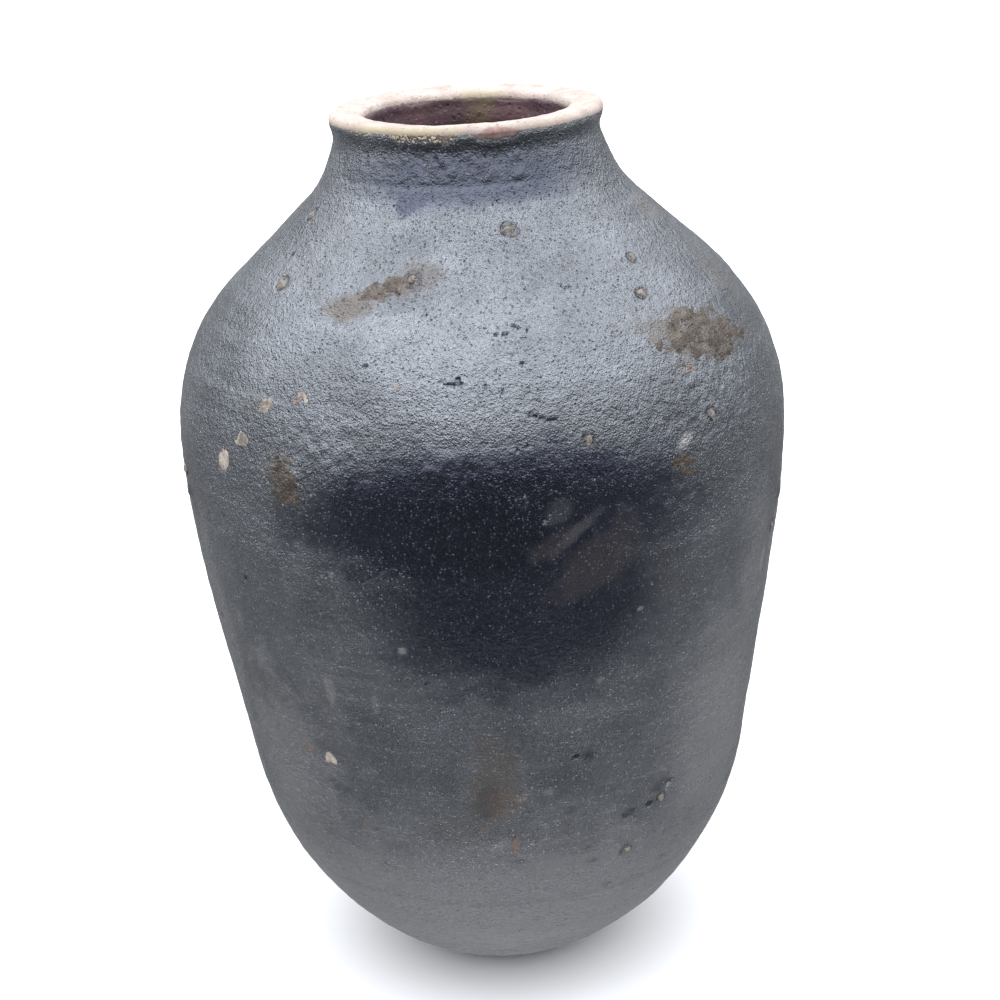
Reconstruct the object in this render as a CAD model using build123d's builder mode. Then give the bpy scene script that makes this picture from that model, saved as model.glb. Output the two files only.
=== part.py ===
"""A hand-built black clay pot: a round jar with a short neck and a thick bare lip.

The pot stands on the XY plane with its axis on +Z, and its front faces -Y. Its clay is laid up in courses
that lap over each other. A thin black coat covers the outside and a thin slip lines the inside. Stones in
the clay break through the coat, and earth, lime and ochre sit on it in patches.
"""

import os
from math import radians, tan

from build123d import *

# Overall sizes, in millimetres
height = 400.0
belly_radius = 136.0
foot_radius = 40.0
rim_radius = 59.3
bore_radius = 44.0

# Thicknesses
wall = 9.0
coat = 0.8
slip = 0.6
lip_round = 2.8
coat_foot_gap = 3.0  # bare clay left between the floor and the black coat
coat_lip_gap = 4.0  # bare clay left between the top of the lip and the black coat
slip_lip_gap = 5.0

# The outside in section is straight runs joined by arcs. These are the corners where the runs would meet ...
bowl_radius = 105.0
bowl_height = 0.1 * height
belly_foot_height = 0.5775 * height
belly_top_height = 0.76 * height
throat_radius = 66.0
throat_drop = 31.0  # below the top of the lip, as are all drops
neck_radius = 56.6
neck_drop = 9.0
# ... and how much of the shorter run beside it each corner's arc takes up
bowl_share = 0.86
belly_share = 0.42
shoulder_share = 0.54
throat_share = 0.38
neck_share = 0.38
# The inside follows the outside, but for its own arcs round the floor and up into the bore
floor_bend = 16.0
bore_bend = 16.0

foot_edge = (foot_radius, 0)
bowl_corner = (bowl_radius, bowl_height)
belly_foot = (belly_radius, belly_foot_height)
belly_top = (belly_radius, belly_top_height)
throat_corner = (throat_radius, height - throat_drop)
neck_corner = (neck_radius, height - neck_drop)
lip_edge = (rim_radius, height)

# Joints between the courses: the height of each on the outside, and how steeply it falls towards the inside
joints = {
    "foot": (68.0, 0.0),
    "belly": (241.0, 0.6),
    "shoulder": (belly_top_height - 2.0, 1.0),
    "neck": (height - 23.0, 0.6),
    "rim": (height - 8.5, 0.0),
}

# Stones in the clay: angle round from the front, height as a share of the whole, radius, how far it stands proud
stones = [
    (11, 0.906, 2.6, 1.1),
    (45, 0.866, 2.4, 1.0),
    (40, 0.837, 2.2, 0.9),
    (-67, 0.908, 2.4, 1.0),
    (-55, 0.853, 3.0, 1.2),
    (-16, 0.869, 2.8, 1.0),
    (44, 0.716, 2.0, 0.8),
    (18, 0.722, 2.6, 0.8),
    (-73, 0.640, 2.8, 0.9),
    (69, 0.545, 2.4, 0.8),
    (36, 0.280, 2.0, 0.7),
    (28, 0.222, 2.2, 0.7),
    (118, 0.880, 2.6, 1.0),
    (152, 0.690, 2.8, 0.9),
    (203, 0.815, 2.4, 1.0),
    (241, 0.530, 2.6, 0.8),
    (212, 0.350, 2.4, 0.8),
]
# Patches on the coat: angle, height as a share of the whole, half width, half height, turn of the long side
crust_thickness = 1.0
crusts = [
    (50, 0.792, 34, 11, -14),
    (-22, 0.858, 13, 6, 24),
    (-36, 0.680, 8, 12, 10),
    (36, 0.675, 9, 6, 0),
    (141, 0.800, 19, 9, 12),
    (222, 0.655, 12, 8, -20),
]
lime_thickness = 0.6
limes = [
    (-42, 0.750, 4, 3, 20),
    (-34, 0.762, 3, 2.5, 0),
    (-47, 0.712, 5, 3.5, -15),
    (-52, 0.684, 4, 5, 0),
    (-37, 0.352, 4, 3, 0),
    (128, 0.735, 5, 4, 0),
    (190, 0.710, 4, 3, 30),
]
# Ochre crumbs on the outer edge of the lip: angle and radius
crumb_drop = 2.4
crumbs = [(-52, 1.7), (-41, 1.9), (-33, 1.6), (-26, 2.0), (-9, 1.5), (34, 1.4), (147, 1.8), (160, 1.5), (231, 1.6)]

joint_overrun = 18.0  # how far a joint's line is carried past the outside of the wall
patch_reach = 14.0  # how far a patch's outline is carried through the curved coat, each way
far = 2 * belly_radius


outside_corners = [foot_edge, bowl_corner, belly_foot, belly_top, throat_corner, neck_corner, lip_edge]
outside_shares = [bowl_share, belly_share, shoulder_share, throat_share, neck_share]


def bend_radius(before, corner, after, share):
    """The radius of an arc at a corner that takes up a share of the shorter run beside it."""
    first_run = Vector(*corner) - Vector(*before)
    second_run = Vector(*after) - Vector(*corner)
    turn = radians(first_run.get_angle(second_run))
    return share * min(first_run.length, second_run.length) / tan(turn / 2)


outside_bends = [
    bend_radius(*corners, share)
    for *corners, share in zip(outside_corners, outside_corners[1:], outside_corners[2:], outside_shares)
]


def layer_line(corners, bends, depth):
    """Straight runs and arcs, moved into the wall by a depth, or out of it where the depth is below zero."""
    points = [Vector(*corner) for corner in corners]
    inward = [(end - start).normalized().rotate(Axis.Z, 90) for start, end in zip(points, points[1:])]
    moved = [points[0] + inward[0] * depth]
    radii = []
    for point, bend, before, after in zip(points[1:], bends, inward, inward[1:]):
        moved.append(point + (before + after) * (depth / (1 + before.dot(after))))
        bulges_out = before.cross(after).Z > 0
        radii.append(bend - depth if bulges_out else bend + depth)
    moved.append(points[-1] + inward[-1] * depth)
    return FilletPolyline(*moved, radius=radii)


def outside_line(depth):
    """The outside of the pot, from the edge of the foot to the top of the lip, moved in by a depth."""
    return layer_line(outside_corners, outside_bends, depth)


def inside_line(thickness):
    """The inside of the pot, from the axis to the top of the bore, where the wall has a thickness."""
    bore_line = bore_radius + wall
    share = (belly_radius - bore_line) / (belly_radius - throat_radius)
    bore_corner = (bore_line, belly_top_height + share * (throat_corner[1] - belly_top_height))
    corners = [(0, 0), *outside_corners[:4], bore_corner, (bore_line, height)]
    bends = [floor_bend + wall, *outside_bends[:3], bore_bend]
    return layer_line(corners, bends, thickness)


outline = outside_line(0)
coat_line = outside_line(coat)
slip_line = inside_line(wall - slip)
inside = inside_line(wall)


def share_at(level):
    """How far along the outline it reaches the given height."""
    low = 0.0
    high = 1.0
    for _ in range(40):
        middle = (low + high) / 2
        if (outline @ middle).Y < level:
            low = middle
        else:
            high = middle
    return low


# The whole wall in section
with BuildSketch() as pot_section:
    with BuildLine():
        Line((0, 0), foot_edge)
        add(outline)
        Line(outline @ 1, inside @ 1)
        add(inside)
        Line(inside @ 0, (0, 0))
    make_face()
    fillet(pot_section.vertices().group_by(Axis.Y)[-1], lip_round)

with BuildSketch() as coat_section:
    with BuildLine():
        add(outline)
        Line(outline @ 1, coat_line @ 1)
        add(coat_line)
        Line(coat_line @ 0, outline @ 0)
    make_face()
    with Locations((far / 2, coat_foot_gap)):
        Rectangle(far, height - coat_lip_gap - coat_foot_gap, align=(Align.CENTER, Align.MIN), mode=Mode.INTERSECT)

with BuildSketch() as slip_section:
    with BuildLine():
        add(slip_line)
        Line(slip_line @ 1, inside @ 1)
        add(inside)
        Line(inside @ 0, slip_line @ 0)
    make_face()
    with Locations((far / 2, 0)):
        Rectangle(far, height - slip_lip_gap, align=(Align.CENTER, Align.MIN), mode=Mode.INTERSECT)

with BuildSketch() as clay_section:
    add(pot_section.sketch)
    add(coat_section.sketch, mode=Mode.SUBTRACT)
    add(slip_section.sketch, mode=Mode.SUBTRACT)


def on_surface(angle, level, depth=0.0):
    """The plane that touches the pot at an angle from the front and a height, sunk by a depth."""
    share = share_at(level)
    outward = (outline % share).rotate(Axis.Z, -90)
    place = outline @ share - outward * depth
    turn = angle - 90
    origin = Vector(place.X, 0, place.Y).rotate(Axis.Z, turn)
    z_dir = Vector(outward.X, 0, outward.Y).rotate(Axis.Z, turn)
    x_dir = Vector(0, 1, 0).rotate(Axis.Z, turn)
    return Plane(origin=origin, x_dir=x_dir, z_dir=z_dir)


# Stones, each a rounded pebble seated in the wall
with BuildPart() as temper_stones:
    for angle, level_share, radius, proud in stones:
        with Locations(on_surface(angle, level_share * height, radius - proud)):
            Sphere(radius)


def joint_points(joint):
    """A joint's line in section, from the axis to a little way outside the pot."""
    level, slope = joint
    reach = (outline @ share_at(level)).X
    return (0, level - slope * reach), (reach + joint_overrun, level + slope * joint_overrun)


def course(lower, upper):
    """One course of clay, between two joints, with a socket for each stone that it holds."""
    with BuildPart() as laid:
        with BuildSketch(Plane.XZ):
            add(clay_section.sketch)
            with BuildLine():
                Polyline(*joint_points(lower), *reversed(joint_points(upper)), close=True)
            make_face(mode=Mode.INTERSECT)
        revolve(axis=Axis.Z)
        add(temper_stones.part, mode=Mode.SUBTRACT)
    return laid


floor = (-height, 0.0)
sky = (2 * height, 0.0)
foot_bowl = course(floor, joints["foot"])
lower_wall = course(joints["foot"], joints["belly"])
belly_wall = course(joints["belly"], joints["shoulder"])
shoulder_wall = course(joints["shoulder"], joints["neck"])
neck_collar = course(joints["neck"], joints["rim"])
rim_coil = course(joints["rim"], sky)

with BuildPart() as black_coat:
    with BuildSketch(Plane.XZ):
        add(coat_section.sketch)
    revolve(axis=Axis.Z)
    add(temper_stones.part, mode=Mode.SUBTRACT)

with BuildPart() as inner_slip:
    with BuildSketch(Plane.XZ):
        add(slip_section.sketch)
    revolve(axis=Axis.Z)


def filled(line):
    """The solid that a line in section encloses as it turns round the axis."""
    with BuildPart() as solid:
        with BuildSketch(Plane.XZ):
            with BuildLine():
                add(line)
                Polyline(line @ 1, (0, (line @ 1).Y), (0, (line @ 0).Y), line @ 0)
            make_face()
        revolve(axis=Axis.Z)
    return solid


bare_pot = filled(outline)


def patches(places, thickness):
    """Oval patches of one thickness that lie on the coat."""
    covered_pot = filled(outside_line(-thickness))
    with BuildPart() as laid:
        for angle, level_share, half_width, half_height, turn in places:
            with BuildSketch(on_surface(angle, level_share * height)):
                Ellipse(half_width, half_height, rotation=turn)
            extrude(amount=patch_reach, both=True)
        add(covered_pot.part, mode=Mode.INTERSECT)
        add(bare_pot.part, mode=Mode.SUBTRACT)
        add(temper_stones.part, mode=Mode.SUBTRACT)
    return laid


earth_crusts = patches(crusts, crust_thickness)
lime_spots = patches(limes, lime_thickness)

# Crumbs of ochre, each resting on the rounded outer edge of the lip
with BuildPart() as ochre_crumbs:
    for angle, radius in crumbs:
        edge_plane = Plane.XY.offset(height - crumb_drop).rotated((0, 0, angle - 90))
        with Locations(edge_plane * Pos(rim_radius - lip_round / 3, 0, 0)):
            Sphere(radius)
    add(rim_coil.part, mode=Mode.SUBTRACT)
    add(black_coat.part, mode=Mode.SUBTRACT)

pieces = {
    "foot_bowl": foot_bowl,
    "lower_wall": lower_wall,
    "belly_wall": belly_wall,
    "shoulder_wall": shoulder_wall,
    "neck_collar": neck_collar,
    "rim_coil": rim_coil,
    "black_coat": black_coat,
    "inner_slip": inner_slip,
    "temper_stones": temper_stones,
    "earth_crusts": earth_crusts,
    "lime_spots": lime_spots,
    "ochre_crumbs": ochre_crumbs,
}
os.makedirs("parts", exist_ok=True)
for name, piece in pieces.items():
    piece.part.label = name
    export_step(piece.part, f"parts/{name}.step")
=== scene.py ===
import math
import random

import bpy
import numpy as np
from mathutils import Matrix, Vector
from mathutils.bvhtree import BVHTree


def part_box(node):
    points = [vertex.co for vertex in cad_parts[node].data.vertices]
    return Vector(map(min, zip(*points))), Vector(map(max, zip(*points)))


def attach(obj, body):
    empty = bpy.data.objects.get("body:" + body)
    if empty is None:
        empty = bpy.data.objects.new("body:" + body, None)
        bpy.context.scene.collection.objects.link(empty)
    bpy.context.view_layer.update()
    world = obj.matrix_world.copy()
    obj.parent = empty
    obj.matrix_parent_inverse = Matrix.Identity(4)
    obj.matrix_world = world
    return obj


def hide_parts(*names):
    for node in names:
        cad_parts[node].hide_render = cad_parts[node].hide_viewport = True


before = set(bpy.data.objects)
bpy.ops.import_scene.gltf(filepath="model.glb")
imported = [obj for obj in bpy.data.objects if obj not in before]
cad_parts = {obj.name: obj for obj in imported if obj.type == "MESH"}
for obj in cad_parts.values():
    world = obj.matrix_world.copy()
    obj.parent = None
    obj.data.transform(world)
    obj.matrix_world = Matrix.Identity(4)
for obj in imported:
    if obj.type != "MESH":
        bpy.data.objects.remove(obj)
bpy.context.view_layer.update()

bl_info = {
    "name": "Black Clay Pot",
    "version": (1, 0, 0),
    "blender": (4, 5, 0),
    "location": "View3D > Sidebar > Clay Pot",
    "description": "Builds the finish of a hand-built black clay pot on its packed frame",
    "category": "Object",
}

MM = 0.001

# How finely the pieces are divided
COLUMNS = 840
ROW_STEP = 0.00112
LINING_COLUMNS = 350
FOOT_COLUMNS, COURSE_COLUMNS = 420, 240
LIP_ROWS, LINING_ROWS, LINING_BACK_ROWS = 70, 230, 46

WALL_NODES = ("foot_bowl", "lower_wall", "belly_wall", "shoulder_wall", "neck_collar", "rim_coil")
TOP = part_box("rim_coil")[1].z
COAT_FOOT, COAT_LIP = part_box("black_coat")[0].z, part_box("black_coat")[1].z
# The heights where one course, or one band of coat, gives way to the next
JOINTS = [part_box("foot_bowl")[1].z, 0.2405, 0.3005, 0.3765, 0.3915]


# ---------------------------------------------------------------- noise, the same on every run

def hashed(ix, iy, iz, seed):
    """A number from 0 to 1 for each whole-number cell."""
    mix = (ix.astype(np.int64) * 374761393 + iy.astype(np.int64) * 668265263
           + iz.astype(np.int64) * 1442695041 + seed * 974634777) & 0xFFFFFFFF
    mix = ((mix ^ (mix >> 13)) * 1274126177) & 0xFFFFFFFF
    mix = ((mix ^ (mix >> 16)) * 2246822519) & 0xFFFFFFFF
    return ((mix ^ (mix >> 15)) & 0xFFFFFF) / float(0xFFFFFF)


def swell(points, size, seed):
    """Smooth noise from -1 to 1 with features of about the given size."""
    q = points / size
    cell = np.floor(q)
    f = q - cell
    f = f * f * (3 - 2 * f)
    total = np.zeros(points.shape[:-1])
    for dx in (0, 1):
        wx = f[..., 0] if dx else 1 - f[..., 0]
        for dy in (0, 1):
            wy = f[..., 1] if dy else 1 - f[..., 1]
            for dz in (0, 1):
                wz = f[..., 2] if dz else 1 - f[..., 2]
                corner = hashed(cell[..., 0] + dx, cell[..., 1] + dy, cell[..., 2] + dz, seed)
                total += wx * wy * wz * corner
    return total * 2 - 1


def pocks(points, spacing, radius, kept, seed):
    """Scattered round marks: 1 at the middle of each and 0 away from them."""
    q = points / spacing
    cell = np.floor(q)
    side = np.where(q - cell < 0.5, -1, 1)
    best = np.zeros(points.shape[:-1])
    for dx in (0, 1):
        for dy in (0, 1):
            for dz in (0, 1):
                c = cell + side * np.array((dx, dy, dz))
                draws = [hashed(c[..., 0], c[..., 1], c[..., 2], seed + k) for k in range(5)]
                gap = sum((q[..., k] - c[..., k] - 0.2 - 0.6 * draws[k]) ** 2 for k in range(3)) ** 0.5
                size = radius * (0.45 + 0.75 * draws[3])
                mark = np.clip(1 - gap * spacing / size, 0, 1) * (draws[4] < kept)
                best = np.maximum(best, mark)
    return best


def ease(x, low, high):
    """0 below low, 1 above high and smooth between them; low may be above high."""
    t = np.clip((x - low) / (high - low), 0, 1)
    return t * t * (3 - 2 * t)


# ---------------------------------------------------------------- the line of the wall, read from the frame

def tree_of(nodes):
    vertices, faces = [], []
    for node in nodes:
        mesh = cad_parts[node].data
        start = len(vertices)
        vertices += [v.co.copy() for v in mesh.vertices]
        faces += [[start + i for i in p.vertices] for p in mesh.polygons]
    return BVHTree.FromPolygons(vertices, faces)


def reach(tree, level, angles, outside):
    """How far the wall is from the axis at a level: the middle value over several angles."""
    found = []
    for angle in angles:
        out = Vector((math.sin(angle), -math.cos(angle), 0))
        hit = tree.ray_cast(out * 0.5 + Vector((0, 0, level)), -out) if outside else \
            tree.ray_cast(Vector((0, 0, level)), out)
        if hit[0] is not None:
            found.append(math.hypot(hit[0].x, hit[0].y))
    return float(np.median(found))


class WallLine:
    """The section of the pot: out along the foot, up the outside, over the lip, down the inside to the floor."""

    def __init__(self):
        outer = tree_of((*WALL_NODES, "black_coat"))
        inner = tree_of((*WALL_NODES, "inner_slip"))
        angles = [math.radians(a) for a in (9, 57, 99, 163, 196, 259, 301)]
        floor = inner.ray_cast(Vector((0.003, 0.002, 0.2)), Vector((0, 0, -1)))[0].z
        near_top = np.geomspace(0.003, 0.00006, 9)
        levels = np.concatenate(([0.0001, 0.0006], np.arange(0.0015, TOP - 0.003, 0.0012), TOP - near_top))
        points = [(reach(outer, z, angles, True), z) for z in levels]
        points = [(r, 0.0) for r in np.linspace(0, points[0][0] - 0.0005, 12)] + points
        falling = np.concatenate((TOP - near_top[::-1], np.arange(TOP - 0.0042, floor + 0.001, -0.0012),
                                  [floor + 0.0004]))
        down = [(reach(inner, z, angles, False), z) for z in falling]
        points += down + [(r, floor) for r in np.linspace(down[-1][0] - 0.002, 0, 10)]
        points = np.array(points)
        length = np.concatenate(([0], np.cumsum(np.hypot(*np.diff(points, axis=0).T))))
        self.step = 0.0004
        self.s = np.arange(0, length[-1], self.step)
        r, z = np.interp(self.s, length, points[:, 0]), np.interp(self.s, length, points[:, 1])
        pad, softness = 12, 0.0012
        kernel = np.exp(-0.5 * (np.arange(-pad, pad + 1) * self.step / softness) ** 2)
        kernel /= kernel.sum()
        r = np.convolve(np.concatenate((-r[pad:0:-1], r, -r[-2:-pad - 2:-1])), kernel, "valid")
        z = np.convolve(np.concatenate((z[pad:0:-1], z, z[-2:-pad - 2:-1])), kernel, "valid")
        self.r, self.z = np.maximum(r, 0), z
        dr, dz = np.gradient(self.r), np.gradient(self.z)
        size = np.hypot(dr, dz)
        self.out_r, self.out_z = dz / size, -dr / size
        self.length = self.s[-1]
        self.top = int(np.argmax(self.z))
        self.turn = self.s[self.top]

    def outside(self, level):
        return np.interp(level, self.z[:self.top], self.s[:self.top])

    def inside(self, level):
        return np.interp(-np.asarray(level), -self.z[self.top:], self.s[self.top:])

    def base(self, angle, s):
        """The place and outward direction on the bare section."""
        r, z = np.interp(s, self.s, self.r), np.interp(s, self.s, self.z)
        nr, nz = np.interp(s, self.s, self.out_r), np.interp(s, self.s, self.out_z)
        sin, cos = np.sin(angle), np.cos(angle)
        return np.stack((r * sin, -r * cos, z), -1), np.stack((nr * sin, -nr * cos, nz), -1)


WALL = WallLine()

# Between these lengths along the section the outside flares towards the lip
FLARE_FROM, FLARE_TO = WALL.outside(0.3880), WALL.outside(0.3975)
FLARE = 0.9
# How far the coat laps over the turn of the lip
COAT_OVER_LIP = 0.0011

# Marks made by hand and by use: angle from the front in degrees, height, radius and depth in millimetres
PITS = [
    (9.4, 259, 1.9, -1.3), (5.6, 288, 1.1, -1.0), (7.4, 288.6, 0.9, -0.8), (-13, 387.5, 1.6, -0.6),
    (-60, 349, 1.7, -0.8),
    (-4, 314, 1.3, -0.7), (1, 311, 1.0, -0.6), (4, 309, 1.1, -0.7), (-22, 318, 1.1, -0.6), (8, 318, 0.9, -0.5),
    (15, 146, 1.6, -0.7), (38, 119, 2.6, -0.8), (33, 111, 2.4, -0.7), (27, 109, 2.1, -0.6), (20, 88, 1.9, -0.6),
    (29, 90, 1.6, -0.6), (41, 75, 2.4, -0.8), (25, 71, 2.0, -0.7), (-12.7, 187, 1.2, -0.5), (3, 95, 2.2, -0.6),
    (-68, 190, 1.8, -0.7), (-50, 222, 1.4, -0.6), (61, 160, 2.0, -0.7), (130, 262, 2.2, -1.0), (171, 226, 1.7, -0.8),
    (214, 285, 1.8, -0.8), (160, 140, 2.2, -0.7), (238, 195, 2.0, -0.8), (190, 330, 1.6, -0.7), (108, 180, 1.8, -0.7),
]
KNOTS = [
    (-73, 246, 4.2, 0.9), (73, 231, 4.6, 0.8), (44, 286, 2.4, 0.7), (-46, 246, 5.0, 0.5), (38, 236, 5.0, 0.4),
    (-35, 275, 6.0, 0.7), (35, 268, 3.0, 0.7), (-31, 339, 2.2, 0.5), (19.5, 182, 1.6, 0.5), (-16.4, 203, 1.4, 0.5),
    (-20, 184, 2.0, 0.5), (3.5, 128, 1.6, 0.4), (9, 131, 2.0, 0.4), (150, 250, 5.0, 0.8), (232, 236, 4.5, 0.7),
    (120, 300, 3.5, 0.6), (-61, 302, 6.0, 0.5), (-44, 302, 5.0, 0.4), (205, 300, 5.0, 0.5),
]
HOLLOWS = [(-24, 296, 26, -0.9), (30, 288, 22, -0.7), (-48, 210, 30, -0.8), (62, 205, 28, -0.8), (12, 180, 34, -0.6),
           (140, 230, 30, -0.9), (210, 180, 32, -0.8), (250, 300, 24, -0.7), (175, 310, 26, -0.7), (-10, 120, 26, -0.5)]
RINGS = [(5.7, 267, 2.2, 0.5), (-27, 309, 2.4, 0.4), (166, 270, 2.4, 0.5)]
# Scratches and cracks: angle and height of each end in millimetres, half width, depth
CRACKS = [
    (7.2, 330.8, 10.4, 329.0, 0.35, 0.6), (3.2, 327.9, 6.0, 328.3, 0.35, 0.5), (20, 341.6, 23, 340.4, 0.3, 0.5),
    (-22.5, 233.5, -19, 238.2, 0.45, 0.5), (-19, 238.2, -15.5, 243.5, 0.4, 0.5), (-12, 335.4, -9, 334.6, 0.3, 0.4),
    (-8, 313, -3.5, 312.2, 0.4, 0.4), (8, 300, 13, 296.5, 0.5, 0.35), (118, 320, 124, 317, 0.4, 0.6),
    (188, 244, 194, 251, 0.45, 0.6), (228, 340, 233, 341, 0.35, 0.5), (152, 202, 158, 199, 0.4, 0.5),
]
# Joints that show: height, depth of the groove, height of the step, and the angles between which it is plain
SEAMS = [
    (377.4, 0.55, 0.15, -64, 19), (302.2, 0.12, 0.55, -66, -38), (301.5, 0.08, 0.30, 120, 200),
    (241.3, 0.10, 0.42, -60, -30),
    (237.0, 0.08, 0.36, 28, 60), (241.0, 0.10, 0.40, 150, 250), (68.0, 0.06, 0.22, -50, 60),
    (68.0, 0.06, 0.22, 130, 260),
    (377.0, 0.40, 0.10, 140, 230), (288.5, 0.06, 0.30, -8, 12),
]


def degrees_between(angle, middle):
    """Angles in degrees from a middle one, from -180 to 180."""
    return (np.degrees(angle) - middle + 180) % 360 - 180


def off_mark(angle, s, middle, level, half_wide=1.0, half_high=1.0, turn=0.0):
    """How many half sizes each point lies from a mark, measured along the surface."""
    s0 = WALL.outside(level * MM)
    r0 = np.interp(s0, WALL.s, WALL.r)
    u = np.radians(degrees_between(angle, middle)) * r0 / MM
    v = (s - s0) / MM
    c, t = math.cos(math.radians(turn)), math.sin(math.radians(turn))
    return np.hypot((u * c + v * t) / half_wide, (v * c - u * t) / half_high)


def slow_relief(p):
    """Out-of-round and broad swells of the whole wall, in metres."""
    return MM * (1.0 * swell(p, 0.115, 3) + 0.42 * swell(p, 0.045, 5)) * ease(p[..., 2], 0.0, 0.03)


# Sandy zones: angle, height, half width and half height in millimetres
SANDY = [
    (44, 296, 34, 24), (-28, 290, 26, 12), (-36, 275, 16, 13), (-2, 284, 30, 6), (-3, 384, 44, 10),
    (-24, 342, 18, 10), (160, 290, 50, 18), (225, 262, 34, 20), (30, 250, 34, 16), (100, 330, 24, 18),
]


def gritty(angle, s, p):
    """Where the coat is rough and sandy, from 0 to 1."""
    zone = np.zeros(angle.shape)
    for middle, level, wide, high in SANDY:
        zone = np.maximum(zone, 1 - ease(off_mark(angle, s, middle, level, wide, high), 0.4, 1.25))
    return np.clip(zone + 0.35 * swell(p, 0.02, 61) * zone, 0, 1)


def pores(p):
    """The small pits scattered over the whole coat."""
    return pocks(p, 0.0105, 0.0014, 0.13, 41)


def coat_relief(angle, s, p):
    """Everything that a hand, a pebble and use left on the outside, in metres."""
    form = pot().form
    wiped = p * np.array((0.11, 0.11, 1.0)) + 0.0009 * swell(p, 0.03, 11)[..., None] * np.array((0, 0, 1.0))
    rough = gritty(angle, s, p)
    high = np.clip(s - WALL.outside(0.010), 0, None)
    lift = 0.30 * swell(p, 0.026, 13) + 0.13 * swell(p, 0.0105, 17)
    lift += form.wipe_depth / MM * (0.7 * swell(wiped, 0.0062, 19) + 0.45 * swell(wiped, 0.0024, 23))
    lift += (0.10 + 0.30 * rough) * swell(p, 0.0038, 29) + (0.08 + 0.26 * rough) * swell(p, 0.0021, 31)
    lift += FLARE * ease(s, FLARE_FROM, FLARE_TO)
    lift -= form.pit_depth / MM * pores(p) ** 0.7
    lift -= form.pit_depth / MM * 0.75 * rough * pocks(p, 0.0044, 0.0010, 0.75, 47) ** 0.8
    lift += 0.20 * pocks(p, 0.0074, 0.0010, 0.7, 53) + 0.30 * rough * pocks(p, 0.0040, 0.0009, 0.7, 59)
    for level, groove, step, first, last in SEAMS:
        middle, half = (first + last) / 2, (last - first) / 2
        flat = p * np.array((1, 1, 0.2))
        wave = 0.6 * swell(flat, 0.021, 67) + 0.3 * swell(flat, 0.007, 68)
        away = (s - WALL.outside(level * MM)) / MM - wave
        plain = 0.12 + 0.88 * (1 - ease(np.abs(degrees_between(angle, middle)), half - 6, half + 8))
        lift -= groove * plain * np.exp(-(away / 0.55) ** 2)
        lap = np.exp(-np.abs(away) / 3.2) * np.where(away < 0, 1, -0.25) * (1 - np.exp(-(away / 0.6) ** 2))
        lift += step * plain * lap
    for middle, level, radius, depth in PITS:
        d = off_mark(angle, s, middle, level, radius, radius * 0.8) * (1 + 0.22 * swell(p, 0.0016, 71))
        lift += depth * (1 - ease(d, 0.25, 1.0)) - 0.25 * depth * np.exp(-((d - 1.15) / 0.28) ** 2)
    for middle, level, radius, depth in KNOTS:
        d = off_mark(angle, s, middle, level, radius, radius * 0.75) * (1 + 0.25 * swell(p, 0.003, 73))
        lift += depth * np.exp(-(d ** 2)) * (1 + 0.5 * swell(p, 0.0017, 74))
    for middle, level, radius, depth in HOLLOWS:
        lift += depth * np.exp(-off_mark(angle, s, middle, level, radius, radius * 0.6) ** 2)
    for middle, level, radius, depth in RINGS:
        d = off_mark(angle, s, middle, level)
        lift += depth * np.exp(-((d - radius) / 0.5) ** 2) - 0.3 * depth * (d < radius)
    for a0, l0, a1, l1, half, depth in CRACKS:
        lift -= depth * np.exp(-(crack_gap(angle, s, a0, l0, a1, l1) / half) ** 2)
    for middle, level, radius in STONES:
        d = off_mark(angle, s, middle, level, radius, radius)
        lift += 0.35 * np.exp(-((d / 1.9) ** 2)) - 0.45 * np.exp(-((d - 1.0) / 0.22) ** 2)
    return slow_relief(p) + MM * lift * ease(high, 0, 0.01)


def crack_gap(angle, s, a0, l0, a1, l1):
    """The distance in millimetres from a short crack."""
    r0 = np.interp(WALL.outside(l0 * MM), WALL.s, WALL.r) / MM
    u = np.radians(degrees_between(angle, a0)) * r0
    v = (s - WALL.outside(l0 * MM)) / MM
    du, dv = math.radians(a1 - a0) * r0, (WALL.outside(l1 * MM) - WALL.outside(l0 * MM)) / MM
    t = np.clip((u * du + v * dv) / (du * du + dv * dv), 0, 1)
    bend = 0.35 * np.sin(t * 9)
    return np.hypot(u - t * du, v - t * dv - bend)


def islands(node):
    """The middle and size of each loose solid of a frame node."""
    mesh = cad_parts[node].data
    co = np.array([v.co for v in mesh.vertices]).reshape(-1, 3)
    merged, back = np.unique(np.round(co, 5), axis=0, return_inverse=True)
    back = back.ravel()
    parent = np.arange(len(merged))

    def find(i):
        while parent[i] != i:
            parent[i] = parent[parent[i]]
            i = parent[i]
        return i
    for edge in mesh.edges:
        a, b = find(back[edge.vertices[0]]), find(back[edge.vertices[1]])
        if a != b:
            parent[a] = b
    roots = np.array([find(i) for i in range(len(merged))])
    out = []
    for root in np.unique(roots):
        part = merged[roots == root]
        out.append(((part.min(0) + part.max(0)) / 2, part))
    return sorted(out, key=lambda pair: tuple(np.round(pair[0], 4)))


def spot_of(middle):
    """A place's angle from the front in degrees and its height in millimetres."""
    return math.degrees(math.atan2(middle[0], -middle[1])), middle[2] / MM


STONES = [(*spot_of(middle), 0.5 * max(np.ptp(part, axis=0)) / MM) for middle, part in islands("temper_stones")]


# ---------------------------------------------------------------- meshes

def angles_of(columns):
    return np.arange(columns) * (2 * math.pi / columns)


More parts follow.
